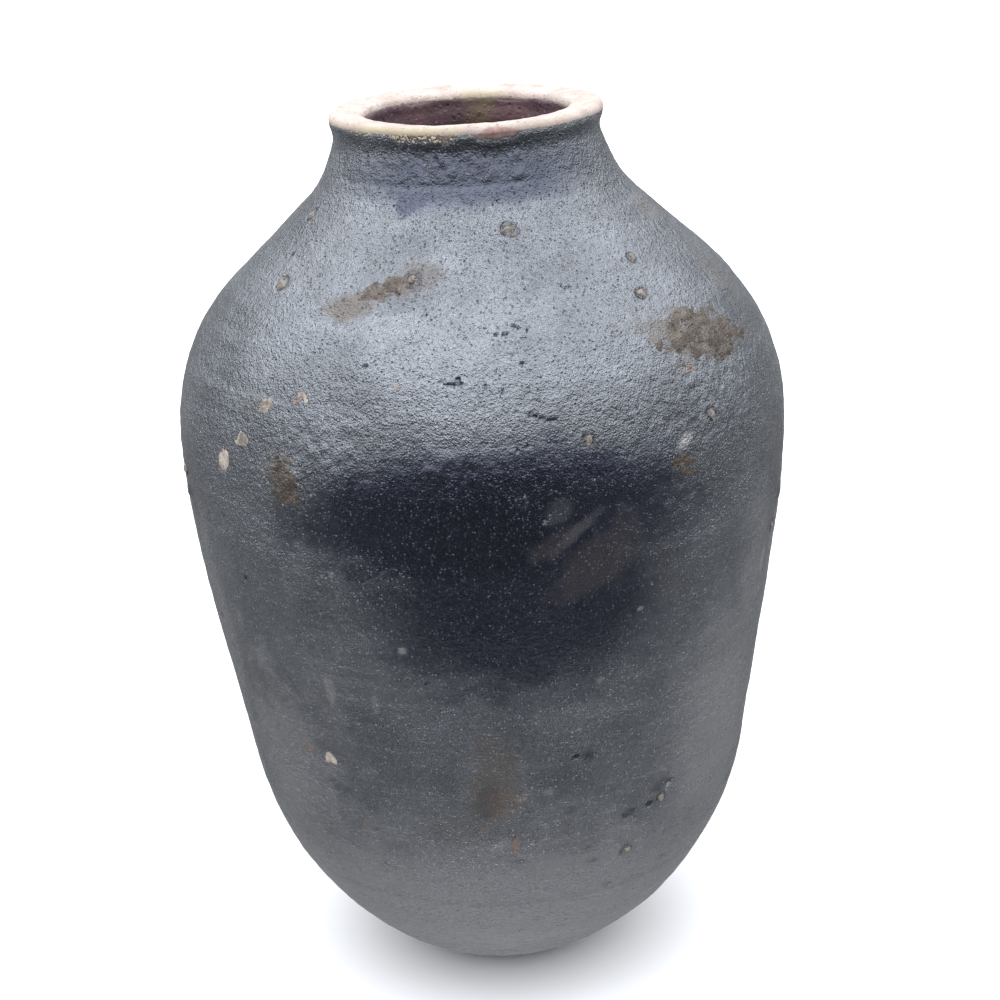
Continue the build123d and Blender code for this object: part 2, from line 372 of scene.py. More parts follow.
def turned_mesh(name, rows, pole_first=False, pole_last=False, seen=None, normals=None, attributes=None):
    """A closed mesh from rings of points. It is a tube bent back on itself, or a closed skin where it has poles."""
    n, c = rows.shape[:2]
    points, index = [], np.zeros((n, c), np.int64)
    count = 0
    for j in range(n):
        if (j == 0 and pole_first) or (j == n - 1 and pole_last):
            points.append(rows[j].mean(0)[None])
            index[j] = count
            count += 1
        else:
            points.append(rows[j])
            index[j] = count + np.arange(c)
            count += c
    bands = n - 1 if pole_first or pole_last else n
    j = np.arange(bands)[:, None]
    i = np.arange(c)[None]
    up, right = (j + 1) % n, (i + 1) % c
    quads = np.stack((index[j, i], index[j, right], index[up, right], index[up, i]), -1).reshape(-1, 4)
    faces = [tuple(dict.fromkeys(q)) for q in quads.tolist()]
    mesh = bpy.data.meshes.new(name)
    mesh.from_pydata(np.concatenate(points).tolist(), [], faces)
    flat = np.concatenate(points)
    for key, values in (attributes or {}).items():
        data = np.zeros(len(flat), np.float32)
        data[:values.size] = values.reshape(-1)
        mesh.attributes.new(key, "FLOAT", "POINT").data.foreach_set("value", data)
    if not (pole_first or pole_last) and seen:
        lay_out(mesh, n, c, seen)
    mesh.polygons.foreach_set("use_smooth", np.ones(len(faces), bool))
    if normals is not None:
        loops = np.zeros((len(mesh.loops), 3), np.float32)
        corner = np.zeros(len(mesh.loops), np.int32)
        mesh.loops.foreach_get("vertex_index", corner)
        shown = np.repeat(np.arange(len(faces)) < (seen - 1) * c, 4)
        flat_normals = normals.reshape(-1, 3)
        loops[shown] = flat_normals[corner[shown]]
        mesh.normals_split_custom_set(loops.tolist())
    obj = bpy.data.objects.new(name, mesh)
    bpy.context.scene.collection.objects.link(obj)
    return obj


def lay_out(mesh, n, c, seen):
    """A map for baked finishes: the seen side as three strips one above another, the hidden side above them."""
    uv = mesh.uv_layers.new(name="OFBake")
    j = np.repeat(np.arange(n), c)
    i = np.tile(np.arange(c), n)
    third = c // 3
    strip = np.minimum(i // third, 2)
    u0, u1 = (i - strip * third) / third, (i + 1 - strip * third) / third
    t0, t1 = j / max(seen - 1, 1), (j + 1) / max(seen - 1, 1)
    shown = j < seen - 1
    behind = 0.07 / max(n - seen + 1, 1)
    v0 = np.where(shown, (strip + 0.02 + 0.96 * t0) * 0.30, 0.92 + behind * (j - seen + 1))
    v1 = np.where(shown, (strip + 0.02 + 0.96 * t1) * 0.30, 0.92 + behind * (j - seen + 2))
    u0, u1 = np.where(shown, u0, i / c), np.where(shown, u1, (i + 1) / c)
    u0, u1 = 0.01 + 0.98 * u0, 0.01 + 0.98 * u1
    corners = np.stack((u0, v0, u1, v0, u1, v1, u0, v1), -1)
    uv.data.foreach_set("uv", corners.reshape(-1).astype(np.float32))


def grid_normals(points):
    """Outward normals of a grid of rings that runs up the pot."""
    along = np.roll(points, -1, 1) - np.roll(points, 1, 1)
    up = np.gradient(points, axis=0)
    n = np.cross(along, up)
    return n / np.linalg.norm(n, axis=-1, keepdims=True)


def finish_piece(obj, material, slot, *nodes):
    """Gives a piece its material and ties it to the frame."""
    obj.data.materials.clear()
    obj.data.materials.append(material)
    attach(obj, "root")
    if nodes:
        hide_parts(*nodes)
    return obj


# ---------------------------------------------------------------- where the coat carries other colours

# For each finish: angle, height, half width and half height in millimetres, turn in degrees, strength
STAINS = {
    "umber": [
        (49, 316, 32, 11, -14, 0.95), (-30, 337, 11, 6.5, 14, 0.9), (-14, 349, 9, 6, -20, 0.55),
        (-22, 343, 12, 4.5, 24, 0.8), (-2, 137, 12, 24, -16, 0.75), (-11, 112, 13, 9, 10, 0.45),
        (19, 238, 24, 13, 34, 0.42), (32, 226, 12, 20, 20, 0.25), (74, 330, 12, 22, 0, 0.5),
        (-37, 274, 8, 11, 10, 0.6), (12, 250, 16, 5, 25, 0.4), (-45, 300, 9, 5, 10, 0.35),
        (142, 322, 28, 12, 14, 0.9), (224, 262, 14, 10, -20, 0.8), (186, 150, 16, 26, 12, 0.7),
        (245, 205, 18, 14, 30, 0.5), (108, 250, 20, 12, -24, 0.5), (170, 360, 14, 7, 0, 0.6),
    ],
    "rust": [
        (42, 305.5, 2.4, 1.8, 0, 0.8), (-42.5, 142.5, 2.8, 2.4, 0, 0.9), (-37, 140, 2.0, 2.0, 0, 0.8),
        (-31, 109, 2.6, 3.2, 0, 0.7), (2.5, 104.5, 2.2, 5.5, -8, 1.0), (0.5, 124, 9, 12, -20, 0.35),
        (-35, 304, 2.4, 1.8, 0, 0.8), (-41, 300.5, 2.0, 1.6, 0, 0.8), (-15, 311, 1.8, 1.4, 0, 0.7),
        (-4, 113, 3, 7, -20, 0.4), (74, 357.5, 12, 9, 0, 0.35), (150, 310, 3, 2.4, 0, 0.9),
        (198, 128, 2.6, 4.5, 0, 0.9), (236, 160, 2.4, 2.4, 0, 0.8),
    ],
    # Haze is partly dust and partly painted reflection: the broad bands round the lower body and the tall strips at the
    # sides lighten the coat where it reflects the pale floor and grazing light.
    "dust_and_painted_reflection": [
        (0, 56, 210, 66, 0, 0.95), (180, 56, 210, 66, 0, 0.95), (-50, 122, 36, 66, 0, 0.65),
        (52, 132, 42, 76, 0, 0.85), (-1.5, 103, 4.0, 12, -42, 0.8), (-35, 170, 20, 50, 0, 0.3),
        (60, 190, 16, 70, 0, 0.5), (-66, 190, 16, 70, 0, 0.4), (12, 262, 10, 7, 40, 0.35),
        (15, 253, 13, 4, 38, 0.4), (-8, 188, 26, 7, 12, 0.25), (22, 168, 30, 6, -8, 0.25),
        (180, 100, 90, 40, 0, 0.45), (150, 190, 26, 50, 0, 0.3), (240, 150, 30, 60, 0, 0.35),
        (208, 226, 20, 9, 30, 0.4),
    ],
    "chalk": [
        (-33, 176, 2.6, 8, 0, 0.5), (-23.5, 175, 1.4, 6, 0, 0.35), (66, 204, 3.0, 10, 10, 0.7),
        (27, 212, 1.6, 1.4, 0, 0.9), (-16.4, 203, 1.6, 1.4, 0, 0.9), (19.5, 182, 2.0, 1.6, 0, 0.7),
        (37, 280, 5.0, 2.2, 30, 0.8), (-28, 236, 1.6, 1.2, 0, 0.7), (-15.7, 105, 1.8, 1.6, 0, 0.7),
        (3.5, 128, 2.4, 1.4, 0, 0.7), (9.5, 130, 2.6, 2.0, 0, 0.5), (-52, 274, 3, 4, 0, 0.7),
        (128, 170, 3, 8, 0, 0.6), (176, 196, 2.2, 1.8, 0, 0.8), (222, 214, 3, 7, 10, 0.6),
    ],
    # Soot is partly smoke marks and partly painted shade: the broad bands over the belly, the neck and the sides paint
    # the dark reflection of the low front into the colour, and many of the small marks darken the pits.
    "soot_and_painted_shade": [
        (-21, 372, 9, 5.5, 14, 0.8), (2, 258, 92, 34, 0, 1.0), (6, 226, 70, 52, 0, 0.85),
        (0, 380, 62, 15, 0, 0.75), (180, 385, 60, 9, 0, 0.5), (36, 119, 5, 3, 30, 0.7),
        (28, 110, 5, 2.6, 30, 0.7), (20, 89, 3.6, 2.6, 20, 0.6), (30, 89, 3.2, 2.4, 20, 0.6),
        (41, 75, 4.0, 3.0, 30, 0.7), (25, 71, 3.6, 2.8, 20, 0.7), (17.9, 145, 3.2, 3.0, 0, 0.5),
        (3, 95, 4.4, 2.2, 0, 0.8), (-3, 128, 6, 12, -10, 0.5), (48, 95, 5, 3, 30, 0.5),
        (14, 118, 4, 2, 20, 0.4), (185, 236, 40, 26, 0, 0.5), (160, 84, 5, 3, 20, 0.6),
        (214, 96, 6, 3, 10, 0.6), (-72, 250, 20, 30, 0, 0.4), (72, 246, 18, 26, 0, 0.4),
    ],
}


def stain_masks(angle, s, p):
    """One mask from 0 to 1 for each kind of stain; the soot mask also holds painted shade and the haze mask painted
    reflection.
    """
    warp = 1 + 0.35 * swell(p, 0.009, 81) + 0.22 * swell(p, 0.0035, 83)
    masks = {}
    for kind, stains in STAINS.items():
        masks[kind] = np.zeros(angle.shape)
        soft = 0.25 if kind == "dust_and_painted_reflection" else 0.5
        for middle, level, wide, high, turn, strength in stains:
            calm = 0.3 if wide > 40 else 1.0
            d = off_mark(angle, s, middle, level, wide, high, turn) * (1 + calm * (warp - 1))
            masks[kind] = np.maximum(masks[kind], strength * (1 - ease(d, soft, 1.35)))
    # Painted shade: a dark ring in the groove round each stone.
    for middle, level, radius in STONES:
        d = off_mark(angle, s, middle, level, radius, radius) * warp
        masks["soot_and_painted_shade"] = np.maximum(masks["soot_and_painted_shade"], 0.9 * np.exp(-((d - 1.05) / 0.3) ** 2))
        masks["umber"] = np.maximum(masks["umber"], 0.55 * (1 - ease(d, 1.0, 1.9)))
    # Painted shade: each pit is darkened in the colour.
    for middle, level, radius, depth in PITS:
        d = off_mark(angle, s, middle, level, radius, radius)
        masks["soot_and_painted_shade"] = np.maximum(masks["soot_and_painted_shade"], 0.95 * (1 - ease(d, 0.4, 1.1)))
    # Painted shade: each crack is darkened along its length.
    for a0, l0, a1, l1, half, depth in CRACKS:
        near = crack_gap(angle, s, a0, l0, a1, l1) / (half * 1.3)
        masks["soot_and_painted_shade"] = np.maximum(masks["soot_and_painted_shade"], np.exp(-near ** 2))
    for middle, level, radius, depth in RINGS:
        d = off_mark(angle, s, middle, level)
        patchy = 0.5 + 0.5 * swell(p, 0.002, 85)
        masks["chalk"] = np.maximum(masks["chalk"], 0.6 * np.exp(-((d - radius) / 0.6) ** 2) * patchy)
    # Painted shade in the pores that the relief sinks.
    masks["pore_shade"] = np.clip(pores(p) * 1.3, 0, 1)
    masks["grit"] = gritty(angle, s, p)
    return masks


# ---------------------------------------------------------------- shader helpers and shared node groups

def fill(tree, node, inputs):
    """Sets a node's inputs, each a value or another node's output."""
    for key, value in inputs.items():
        if isinstance(value, bpy.types.NodeSocket):
            tree.links.new(value, node.inputs[key])
        else:
            node.inputs[key].default_value = value
    return node


def add(tree, kind, inputs=None, **settings):
    """A new node with its settings and its inputs."""
    node = tree.nodes.new(kind)
    for key, value in settings.items():
        setattr(node, key, value)
    return fill(tree, node, inputs or {})


def blend(tree, share, first, second):
    """A mix of two colours."""
    return add(tree, "ShaderNodeMix", {0: share, 6: first, 7: second}, data_type="RGBA").outputs[2]


def maths(operation):
    """A short name for one kind of sum between values and node outputs."""
    def work(tree, *values):
        return add(tree, "ShaderNodeMath", dict(enumerate(values)), operation=operation).outputs[0]
    return work


plus, minus, times, over = maths("ADD"), maths("SUBTRACT"), maths("MULTIPLY"), maths("DIVIDE")
most, least, unsigned = maths("MAXIMUM"), maths("MINIMUM"), maths("ABSOLUTE")


def vector(tree, operation, first, second):
    """A sum of two vectors, or a vector scaled by a number."""
    inputs = {0: first, "Scale" if operation == "SCALE" else 1: second}
    return add(tree, "ShaderNodeVectorMath", inputs, operation=operation).outputs[0]


def spread(tree, value, low, high, to_low=0.0, to_high=1.0):
    """A value taken from one range to another and held within it."""
    return add(tree, "ShaderNodeMapRange", {0: value, 1: low, 2: high, 3: to_low, 4: to_high}).outputs[0]


def noise(tree, place, scale, detail=3.0, roughness=0.55):
    inputs = {"Vector": place, "Scale": scale, "Detail": detail, "Roughness": roughness}
    return add(tree, "ShaderNodeTexNoise", inputs).outputs[0]


def group_tree(name, inputs, outputs):
    tree = bpy.data.node_groups.new(name, "ShaderNodeTree")
    for label, kind, default in inputs:
        socket = tree.interface.new_socket(label, in_out="INPUT", socket_type=kind)
        if default is not None:
            socket.default_value = default
    for label, kind in outputs:
        tree.interface.new_socket(label, in_out="OUTPUT", socket_type=kind)
    return tree, tree.nodes.new("NodeGroupInput").outputs, tree.nodes.new("NodeGroupOutput")


def sand_group():
    """Fine sand in the clay: its height, a mask of single bright grains and a mask of sunken gaps, which the materials
    darken as painted shade.
    """
    name = "Sandy Grain"
    if name in bpy.data.node_groups:
        return bpy.data.node_groups[name]
    tree, given, out = group_tree(
        name,
        [("Vector", "NodeSocketVector", None), ("Grain Size", "NodeSocketFloat", 0.0008),
         ("Coarse Share", "NodeSocketFloat", 0.5)],
        [("Height", "NodeSocketFloat"), ("Grains", "NodeSocketFloat"), ("Gaps", "NodeSocketFloat")],
    )
    per_metre = over(tree, 1.0, given["Grain Size"])
    fine = noise(tree, given["Vector"], per_metre, 2.0, 0.6)
    coarse = noise(tree, given["Vector"], times(tree, per_metre, 0.36), 2.0, 0.6)
    per_cell = times(tree, per_metre, 0.55)
    cells = add(tree, "ShaderNodeTexVoronoi", {"Vector": given["Vector"], "Scale": per_cell}).outputs
    tone = add(tree, "ShaderNodeSeparateColor", {0: cells["Color"]}).outputs
    grains = times(tree, spread(tree, cells["Distance"], 0.42, 0.16), spread(tree, tone[0], 0.62, 0.8))
    gaps = times(tree, spread(tree, cells["Distance"], 0.46, 0.2), spread(tree, tone[1], 0.8, 0.9))
    body = add(tree, "ShaderNodeMix", {0: given["Coarse Share"], 2: fine, 3: coarse}).outputs[0]
    height = minus(tree, plus(tree, body, times(tree, grains, 0.35)), times(tree, gaps, 0.5))
    fill(tree, out, {"Height": height, "Grains": grains, "Gaps": gaps})
    return tree


def mottle_group():
    """A colour that drifts between two others in broad clouds and small flecks."""
    name = "Mottled Clay"
    if name in bpy.data.node_groups:
        return bpy.data.node_groups[name]
    tree, given, out = group_tree(
        name,
        [("Vector", "NodeSocketVector", None), ("Color", "NodeSocketColor", (0.2, 0.2, 0.2, 1)),
         ("Other Color", "NodeSocketColor", (0.1, 0.1, 0.1, 1)), ("Cloud Size", "NodeSocketFloat", 0.04),
         ("Fleck Amount", "NodeSocketFloat", 0.4)],
        [("Color", "NodeSocketColor"), ("Clouds", "NodeSocketFloat")],
    )
    clouds = noise(tree, given["Vector"], over(tree, 1.0, given["Cloud Size"]), 4.0, 0.6)
    flecks = noise(tree, given["Vector"], over(tree, 22.0, given["Cloud Size"]), 2.0, 0.6)
    flecked = times(tree, minus(tree, flecks, 0.5), given["Fleck Amount"])
    share = plus(tree, spread(tree, clouds, 0.36, 0.66), flecked)
    fill(tree, out, {"Color": blend(tree, share, given["Color"], given["Other Color"]), "Clouds": clouds})
    return tree


def use_group(tree, group, inputs):
    node = tree.nodes.new("ShaderNodeGroup")
    node.node_tree = group
    return fill(tree, node, inputs).outputs


def new_material(name):
    material = bpy.data.materials.new(name)
    material.use_nodes = True
    tree = material.node_tree
    tree.nodes.clear()
    shader = tree.nodes.new("ShaderNodeBsdfPrincipled")
    tree.links.new(shader.outputs[0], tree.nodes.new("ShaderNodeOutputMaterial").inputs[0])
    place = tree.nodes.new("ShaderNodeTexCoord").outputs["Object"]
    return material, tree, shader, place


def mask(tree, name):
    return add(tree, "ShaderNodeAttribute", attribute_name=name).outputs["Fac"]


def bump(tree, height, distance, strength=1.0, normal=None):
    inputs = {"Height": height, "Distance": distance, "Strength": strength}
    if normal is not None:
        inputs["Normal"] = normal
    return add(tree, "ShaderNodeBump", inputs).outputs[0]


def shade(colour, factor=1.0):
    """A colour made darker or lighter, with full cover."""
    return (*(c * factor for c in colour[:3]), 1.0)


def coat_material():
    name = "Burnished black coat"
    if name in bpy.data.materials:
        return bpy.data.materials[name]
    look = pot().finishes
    material, tree, shader, place = new_material(name)
    masks = {kind: mask(tree, kind) for kind in (*STAINS, "pore_shade", "grit")}
    sand = use_group(tree, sand_group(), {"Vector": place, "Grain Size": 0.0007, "Coarse Share": 0.5})
    base = use_group(tree, mottle_group(), {
        "Vector": place, "Color": shade(look.coat_colour), "Other Color": shade(look.coat_colour, 0.72),
        "Cloud Size": 0.03, "Fleck Amount": 0.5})
    streaks = noise(tree, vector(tree, "MULTIPLY", place, (14.0, 14.0, 210.0)), 1.0, 4.0, 0.6)
    wiped = times(tree, spread(tree, streaks, 0.5, 0.72), 0.35)
    colour = blend(tree, wiped, base["Color"], shade(look.coat_colour, 1.45))
    ragged = minus(tree, noise(tree, place, 420.0, 3.0, 0.7), 0.5)
    # Finish, its colour, how much of it shows and how ragged its edge is
    # The first two also lay painted shade and painted reflection into the colour.
    for kind, tint, amount, fray in (
            ("soot_and_painted_shade", look.soot_and_shade_colour, 1.0, 0.3), ("dust_and_painted_reflection", look.dust_and_reflection_colour, 0.8, 0.4),
            ("umber", look.umber_colour, 0.8, 0.75),
            ("rust", look.rust_colour, 0.55, 0.75), ("chalk", look.chalk_colour, 0.6, 0.75)):
        broken = spread(tree, plus(tree, masks[kind], times(tree, ragged, fray)), 0.12, 0.85)
        inside = least(tree, times(tree, masks[kind], 4.0), 1.0)
        colour = blend(tree, times(tree, times(tree, broken, inside), amount), colour, shade(tint))
    clean = spread(tree, masks["soot_and_painted_shade"], 0.0, 1.0, 1.0, 0.2)
    colour = blend(tree, times(tree, times(tree, sand["Grains"], 0.3), clean), colour, shade(look.grain_colour))
    # Painted shade: the sand gaps and the pores are darkened in the colour.
    dark = times(tree, most(tree, sand["Gaps"], masks["pore_shade"]), 0.42)
    colour = blend(tree, dark, colour, shade(look.coat_colour, 0.3))
    earthy = most(tree, masks["chalk"], times(tree, masks["dust_and_painted_reflection"], 0.45))
    earthy = most(tree, masks["umber"], most(tree, masks["rust"], earthy))
    rough = spread(tree, streaks, 0.35, 0.7, look.coat_roughness - 0.035, look.coat_roughness + 0.05)
    rough = plus(tree, rough, times(tree, most(tree, earthy, masks["grit"]), 0.14))
    calm = spread(tree, masks["soot_and_painted_shade"], 0.0, 1.0, 1.0, 0.42)
    fine = bump(tree, times(tree, sand["Height"], calm), 0.0012)
    skin = bump(tree, times(tree, noise(tree, place, 330.0, 4.0, 0.65), calm), 0.0011, 0.9, fine)
    fill(tree, shader, {
        "Base Color": colour, "Metallic": spread(tree, earthy, 0.0, 1.0, look.coat_metal, look.coat_metal * 0.72),
        "Roughness": plus(tree, rough, times(tree, sand["Grains"], 0.06)), "Specular IOR Level": 0.6,
        "Normal": bump(tree, streaks, 0.00022, 0.8, skin)})
    return material


def clay_material(name, colour, other, grain=0.0008, depth=0.00035, cloud=0.02, roughness=0.75, tints=None, metal=0.0):
    """Bare or crusty clay and stone: two colours in clouds, with sand in it."""
    if name in bpy.data.materials:
        return bpy.data.materials[name]
    material, tree, shader, place = new_material(name)
    sand = use_group(tree, sand_group(), {"Vector": place, "Grain Size": grain, "Coarse Share": 0.5})
    base = use_group(tree, mottle_group(), {
        "Vector": place, "Color": shade(colour), "Other Color": shade(other), "Cloud Size": cloud, "Fleck Amount": 0.7})
    bright = shade([min(1, c * 1.6 + 0.05) for c in colour])
    tone = blend(tree, times(tree, sand["Grains"], 0.35), base["Color"], bright)
    # Painted shade: the sand gaps are darkened in the colour.
    tone = blend(tree, times(tree, sand["Gaps"], 0.6), tone, shade(other, 0.4))
    if tints:
        tone = tints(tree, tone, place)
    lumps = bump(tree, noise(tree, place, 0.225 / grain, 3.0), depth * 1.6, 0.7)
    fill(tree, shader, {
        "Base Color": tone, "Roughness": spread(tree, base["Clouds"], 0.3, 0.7, roughness - 0.06, roughness + 0.08),
        "Metallic": metal, "Specular IOR Level": 0.35, "Normal": bump(tree, sand["Height"], depth, 1.0, lumps)})
    return material


# ---------------------------------------------------------------- sizes and colours a user would change

def colour_property(label, words, default):
    return bpy.props.FloatVectorProperty(name=label, description=words, default=default, subtype="COLOR", size=3,
                                         min=0.0, max=1.0)


def size_property(label, words, default):
    return bpy.props.FloatProperty(name=label, description=words, default=default, unit="LENGTH", subtype="DISTANCE",
                                   precision=5)


def place_property(label, words, default):
    return bpy.props.FloatVectorProperty(name=label, description=words, default=default, subtype="TRANSLATION",
                                         unit="LENGTH")


def light_property(label, words, default):
    return bpy.props.FloatProperty(name=label, description=words, default=default, min=0.0)


def share_property(label, words, default):
    return bpy.props.FloatProperty(name=label, description=words, default=default, min=0.0, max=1.0, subtype="FACTOR")


def count_property(label, words, default):
    return bpy.props.IntProperty(name=label, description=words, default=default, min=0)


class POT_PG_form(bpy.types.PropertyGroup):
    coat_thickness: size_property("Coat thickness", "How thick the black coat is", 0.0009)
    lining_thickness: size_property("Lining thickness", "How thick the slip inside is", 0.0006)
    wipe_depth: size_property("Wiping depth", "How deep the marks of wiping are", 0.00015)
    pit_depth: size_property("Pit depth", "How deep the small scattered pits are", 0.00050)
    edge_wear: size_property("Edge wear", "How far the worn edges of the coat wander", 0.0011)
    speck_count: count_property("Sand specks", "How many coarse grains stand out of the coat", 380)
    crumb_count: count_property("Ochre crumbs", "How many crumbs cling under the lip", 420)


class POT_PG_finishes(bpy.types.PropertyGroup):
    coat_colour: colour_property("Coat", "Burnished black clay", (0.152, 0.162, 0.180))
    coat_metal: share_property("Coat lustre", "How much the burnished coat shines like graphite", 0.90)
    coat_roughness: share_property("Coat roughness", "How matt the coat is", 0.23)
    # Soot colour, also used as painted shade: the bluish dark reflected on the belly and neck, and the dark in pits and
    # cracks.
    soot_and_shade_colour: colour_property("Soot", "Darker smoked clay", (0.042, 0.046, 0.066))
    # Dust colour, also used as painted reflection on the lower body and the sides.
    dust_and_reflection_colour: colour_property("Dust", "Pale dust rubbed into the coat", (0.27, 0.27, 0.285))
    umber_colour: colour_property("Umber", "Brown earth stain", (0.088, 0.074, 0.064))
    rust_colour: colour_property("Rust", "Orange stain", (0.20, 0.115, 0.075))
    chalk_colour: colour_property("Chalk", "Pale mark", (0.30, 0.29, 0.285))
    grain_colour: colour_property("Grain", "Bright grains in the coat", (0.27, 0.28, 0.30))
    lip_colour: colour_property("Bare lip", "Bare pinkish clay on the lip", (0.36, 0.30, 0.275))
    lip_shade: colour_property("Bare lip, darker", "Darker parts of the bare lip", (0.27, 0.22, 0.195))
    lining_colour: colour_property("Lining", "Dark red-brown inside", (0.105, 0.055, 0.062))
    lining_shade: colour_property("Lining, darker", "Darker parts of the inside", (0.050, 0.030, 0.036))
    clay_colour: colour_property("Clay", "The body of the pot", (0.16, 0.125, 0.105))
    ochre_colour: colour_property("Ochre", "Yellow crumbs under the lip", (0.31, 0.27, 0.18))
    lime_colour: colour_property("Lime", "Cream deposits", (0.27, 0.24, 0.21))
    stone_colour: colour_property("Stone", "Temper stones", (0.17, 0.15, 0.13))


class POT_PG_studio(bpy.types.PropertyGroup):
    floor_colour: colour_property("Floor", "Plain pale floor", (0.62, 0.62, 0.63))
    sky_light: light_property("Overhead light", "Brightness of the soft light above", 3.4)
    low_light: light_property("Low light", "Brightness low in front of the pot", 0.03)
    side_light: light_property("Side light", "Brightness low at the sides and behind", 0.40)
    lens: bpy.props.FloatProperty(name="Lens", description="Focal length of the camera in millimetres", default=68.21,
                                  min=1.0)
    camera_place: place_property("Camera", "Where the camera stands", (0.0, -0.823, 0.5225))
    camera_target: place_property("Target", "What the camera looks at", (0.00618, 0.0, 0.21905))
    camera_roll: bpy.props.FloatProperty(name="Roll", description="How far the camera leans",
                                         default=math.radians(-2.925), subtype="ANGLE", unit="ROTATION")


class POT_PG_all(bpy.types.PropertyGroup):
    form: bpy.props.PointerProperty(type=POT_PG_form)
    finishes: bpy.props.PointerProperty(type=POT_PG_finishes)
    studio: bpy.props.PointerProperty(type=POT_PG_studio)


def pot():
    return bpy.context.scene.clay_pot


# ---------------------------------------------------------------- the pieces

def edge_wander(angle, seed, size):
    """How far a worn edge of the coat strays, round the pot."""
    ring = np.stack((np.sin(angle), -np.cos(angle), np.zeros(angle.shape)), -1) * 0.06
    broad, middling, fine = (swell(ring, width, seed + k) for k, width in enumerate((0.013, 0.0042, 0.0016)))
    return size * (0.8 * broad + 0.55 * middling + 0.4 * fine)


# Bites out of the coat's upper edge: the angles between which each lies, and its depth
BITES = [(3, 21, 0.0026), (-30, -4, 0.0018), (146, 160, 0.0032), (226, 236, 0.0024)]


def coat_top(angle):
    """Where the coat stops below the lip, as a length along the section."""
    level = WALL.outside(COAT_LIP + 0.0008) + COAT_OVER_LIP + edge_wander(angle, 101, pot().form.edge_wear)
    for first, last, depth in BITES:
        away = np.abs(degrees_between(angle, (first + last) / 2))
        half = (last - first) / 2
        level = level - depth * (1 - ease(away, half - 1.6, half + 0.8))
    return level


def coat_rows():
    """How far up the coat each row of points lies, band by band, closer together at the joints."""
    stops = [float(WALL.outside(level)) for level in (COAT_FOOT, *JOINTS[:4], COAT_LIP)]
    bands = []
    for k, (low, high) in enumerate(zip(stops, stops[1:])):
        coarse = 1.5 if k == 1 else 1.0  # the lower wall is tall and calm
        count = max(6, int(round((high - low) / (ROW_STEP * coarse))))
        bands.append(np.linspace(0, 1, count + 1))
    return stops, bands


class POT_OT_black_coat(bpy.types.Operator):
    """Makes the burnished black coat, one band over each course of clay"""
    bl_idname = "clay_pot.black_coat"
    bl_label = "Black Coat"
    bl_options = {"REGISTER", "UNDO"}

    def execute(self, context):
        names = ("coat_on_foot_bowl", "coat_on_lower_wall", "coat_on_belly", "coat_on_shoulder", "coat_on_neck")
        stops, bands = coat_rows()
        angle = angles_of(COLUMNS)
        first = WALL.outside(COAT_FOOT) + np.abs(edge_wander(angle, 111, pot().form.edge_wear))
        last = coat_top(angle)
        s_rows, cuts = [], [0]
        for k, band in enumerate(bands):
            low = first if k == 0 else np.full(COLUMNS, stops[k])
            high = last if k == len(bands) - 1 else np.full(COLUMNS, stops[k + 1])
            rows = low + (high - low) * band[:, None]
            s_rows.append(rows if k == 0 else rows[1:])
            cuts.append(cuts[-1] + len(band) - 1)
        s = np.concatenate(s_rows)
        a = np.broadcast_to(angle, s.shape)
        p, out = WALL.base(a, s)
        lift = coat_relief(a, s, p)
        rim = np.minimum(last - s, s - first)
        thin = 1 - ease(rim, 0.0, 0.0011)
        swollen = np.exp(-((rim - 0.0022) / 0.0011) ** 2)
        lift = lift - 0.00055 * thin + 0.00015 * swollen
        seen = p + out * lift[..., None]
        normals = grid_normals(seen)
        masks = stain_masks(a, s, p)
        masks["umber"] = np.maximum(masks["umber"], 0.5 * (1 - ease(rim, 0.0, 0.003)))
        under = p + out * (slow_relief(p) - pot().form.coat_thickness - 0.0003)[..., None]
        for k, name in enumerate(names):
            top, bottom = cuts[k + 1], cuts[k]
            back = np.unique(np.linspace(bottom, top, max(3, (top - bottom) // 9)).round().astype(int))[::-1]
            rows = np.concatenate((seen[bottom:top + 1], under[back]))
            part = {key: value[bottom:top + 1] for key, value in masks.items()}
            obj = turned_mesh(name, rows, seen=top + 1 - bottom, normals=normals[bottom:top + 1], attributes=part)
            finish_piece(obj, coat_material(), "black_coat", "black_coat")
        return {"FINISHED"}


def foot_relief(angle, s, p):
    """The worn bare foot: scuffs and a slightly uneven standing edge that stays on the floor."""
    near_axis = ease(np.hypot(p[..., 0], p[..., 1]), 0.0, 0.012)
    dip = 0.5 * np.abs(swell(p, 0.016, 121)) + 0.3 * np.abs(swell(p, 0.006, 123))
    dip = dip + 0.16 * np.abs(swell(p, 0.0024, 125))
    return -MM * (dip + 0.5 * pocks(p, 0.007, 0.0014, 0.6, 127)) * near_axis


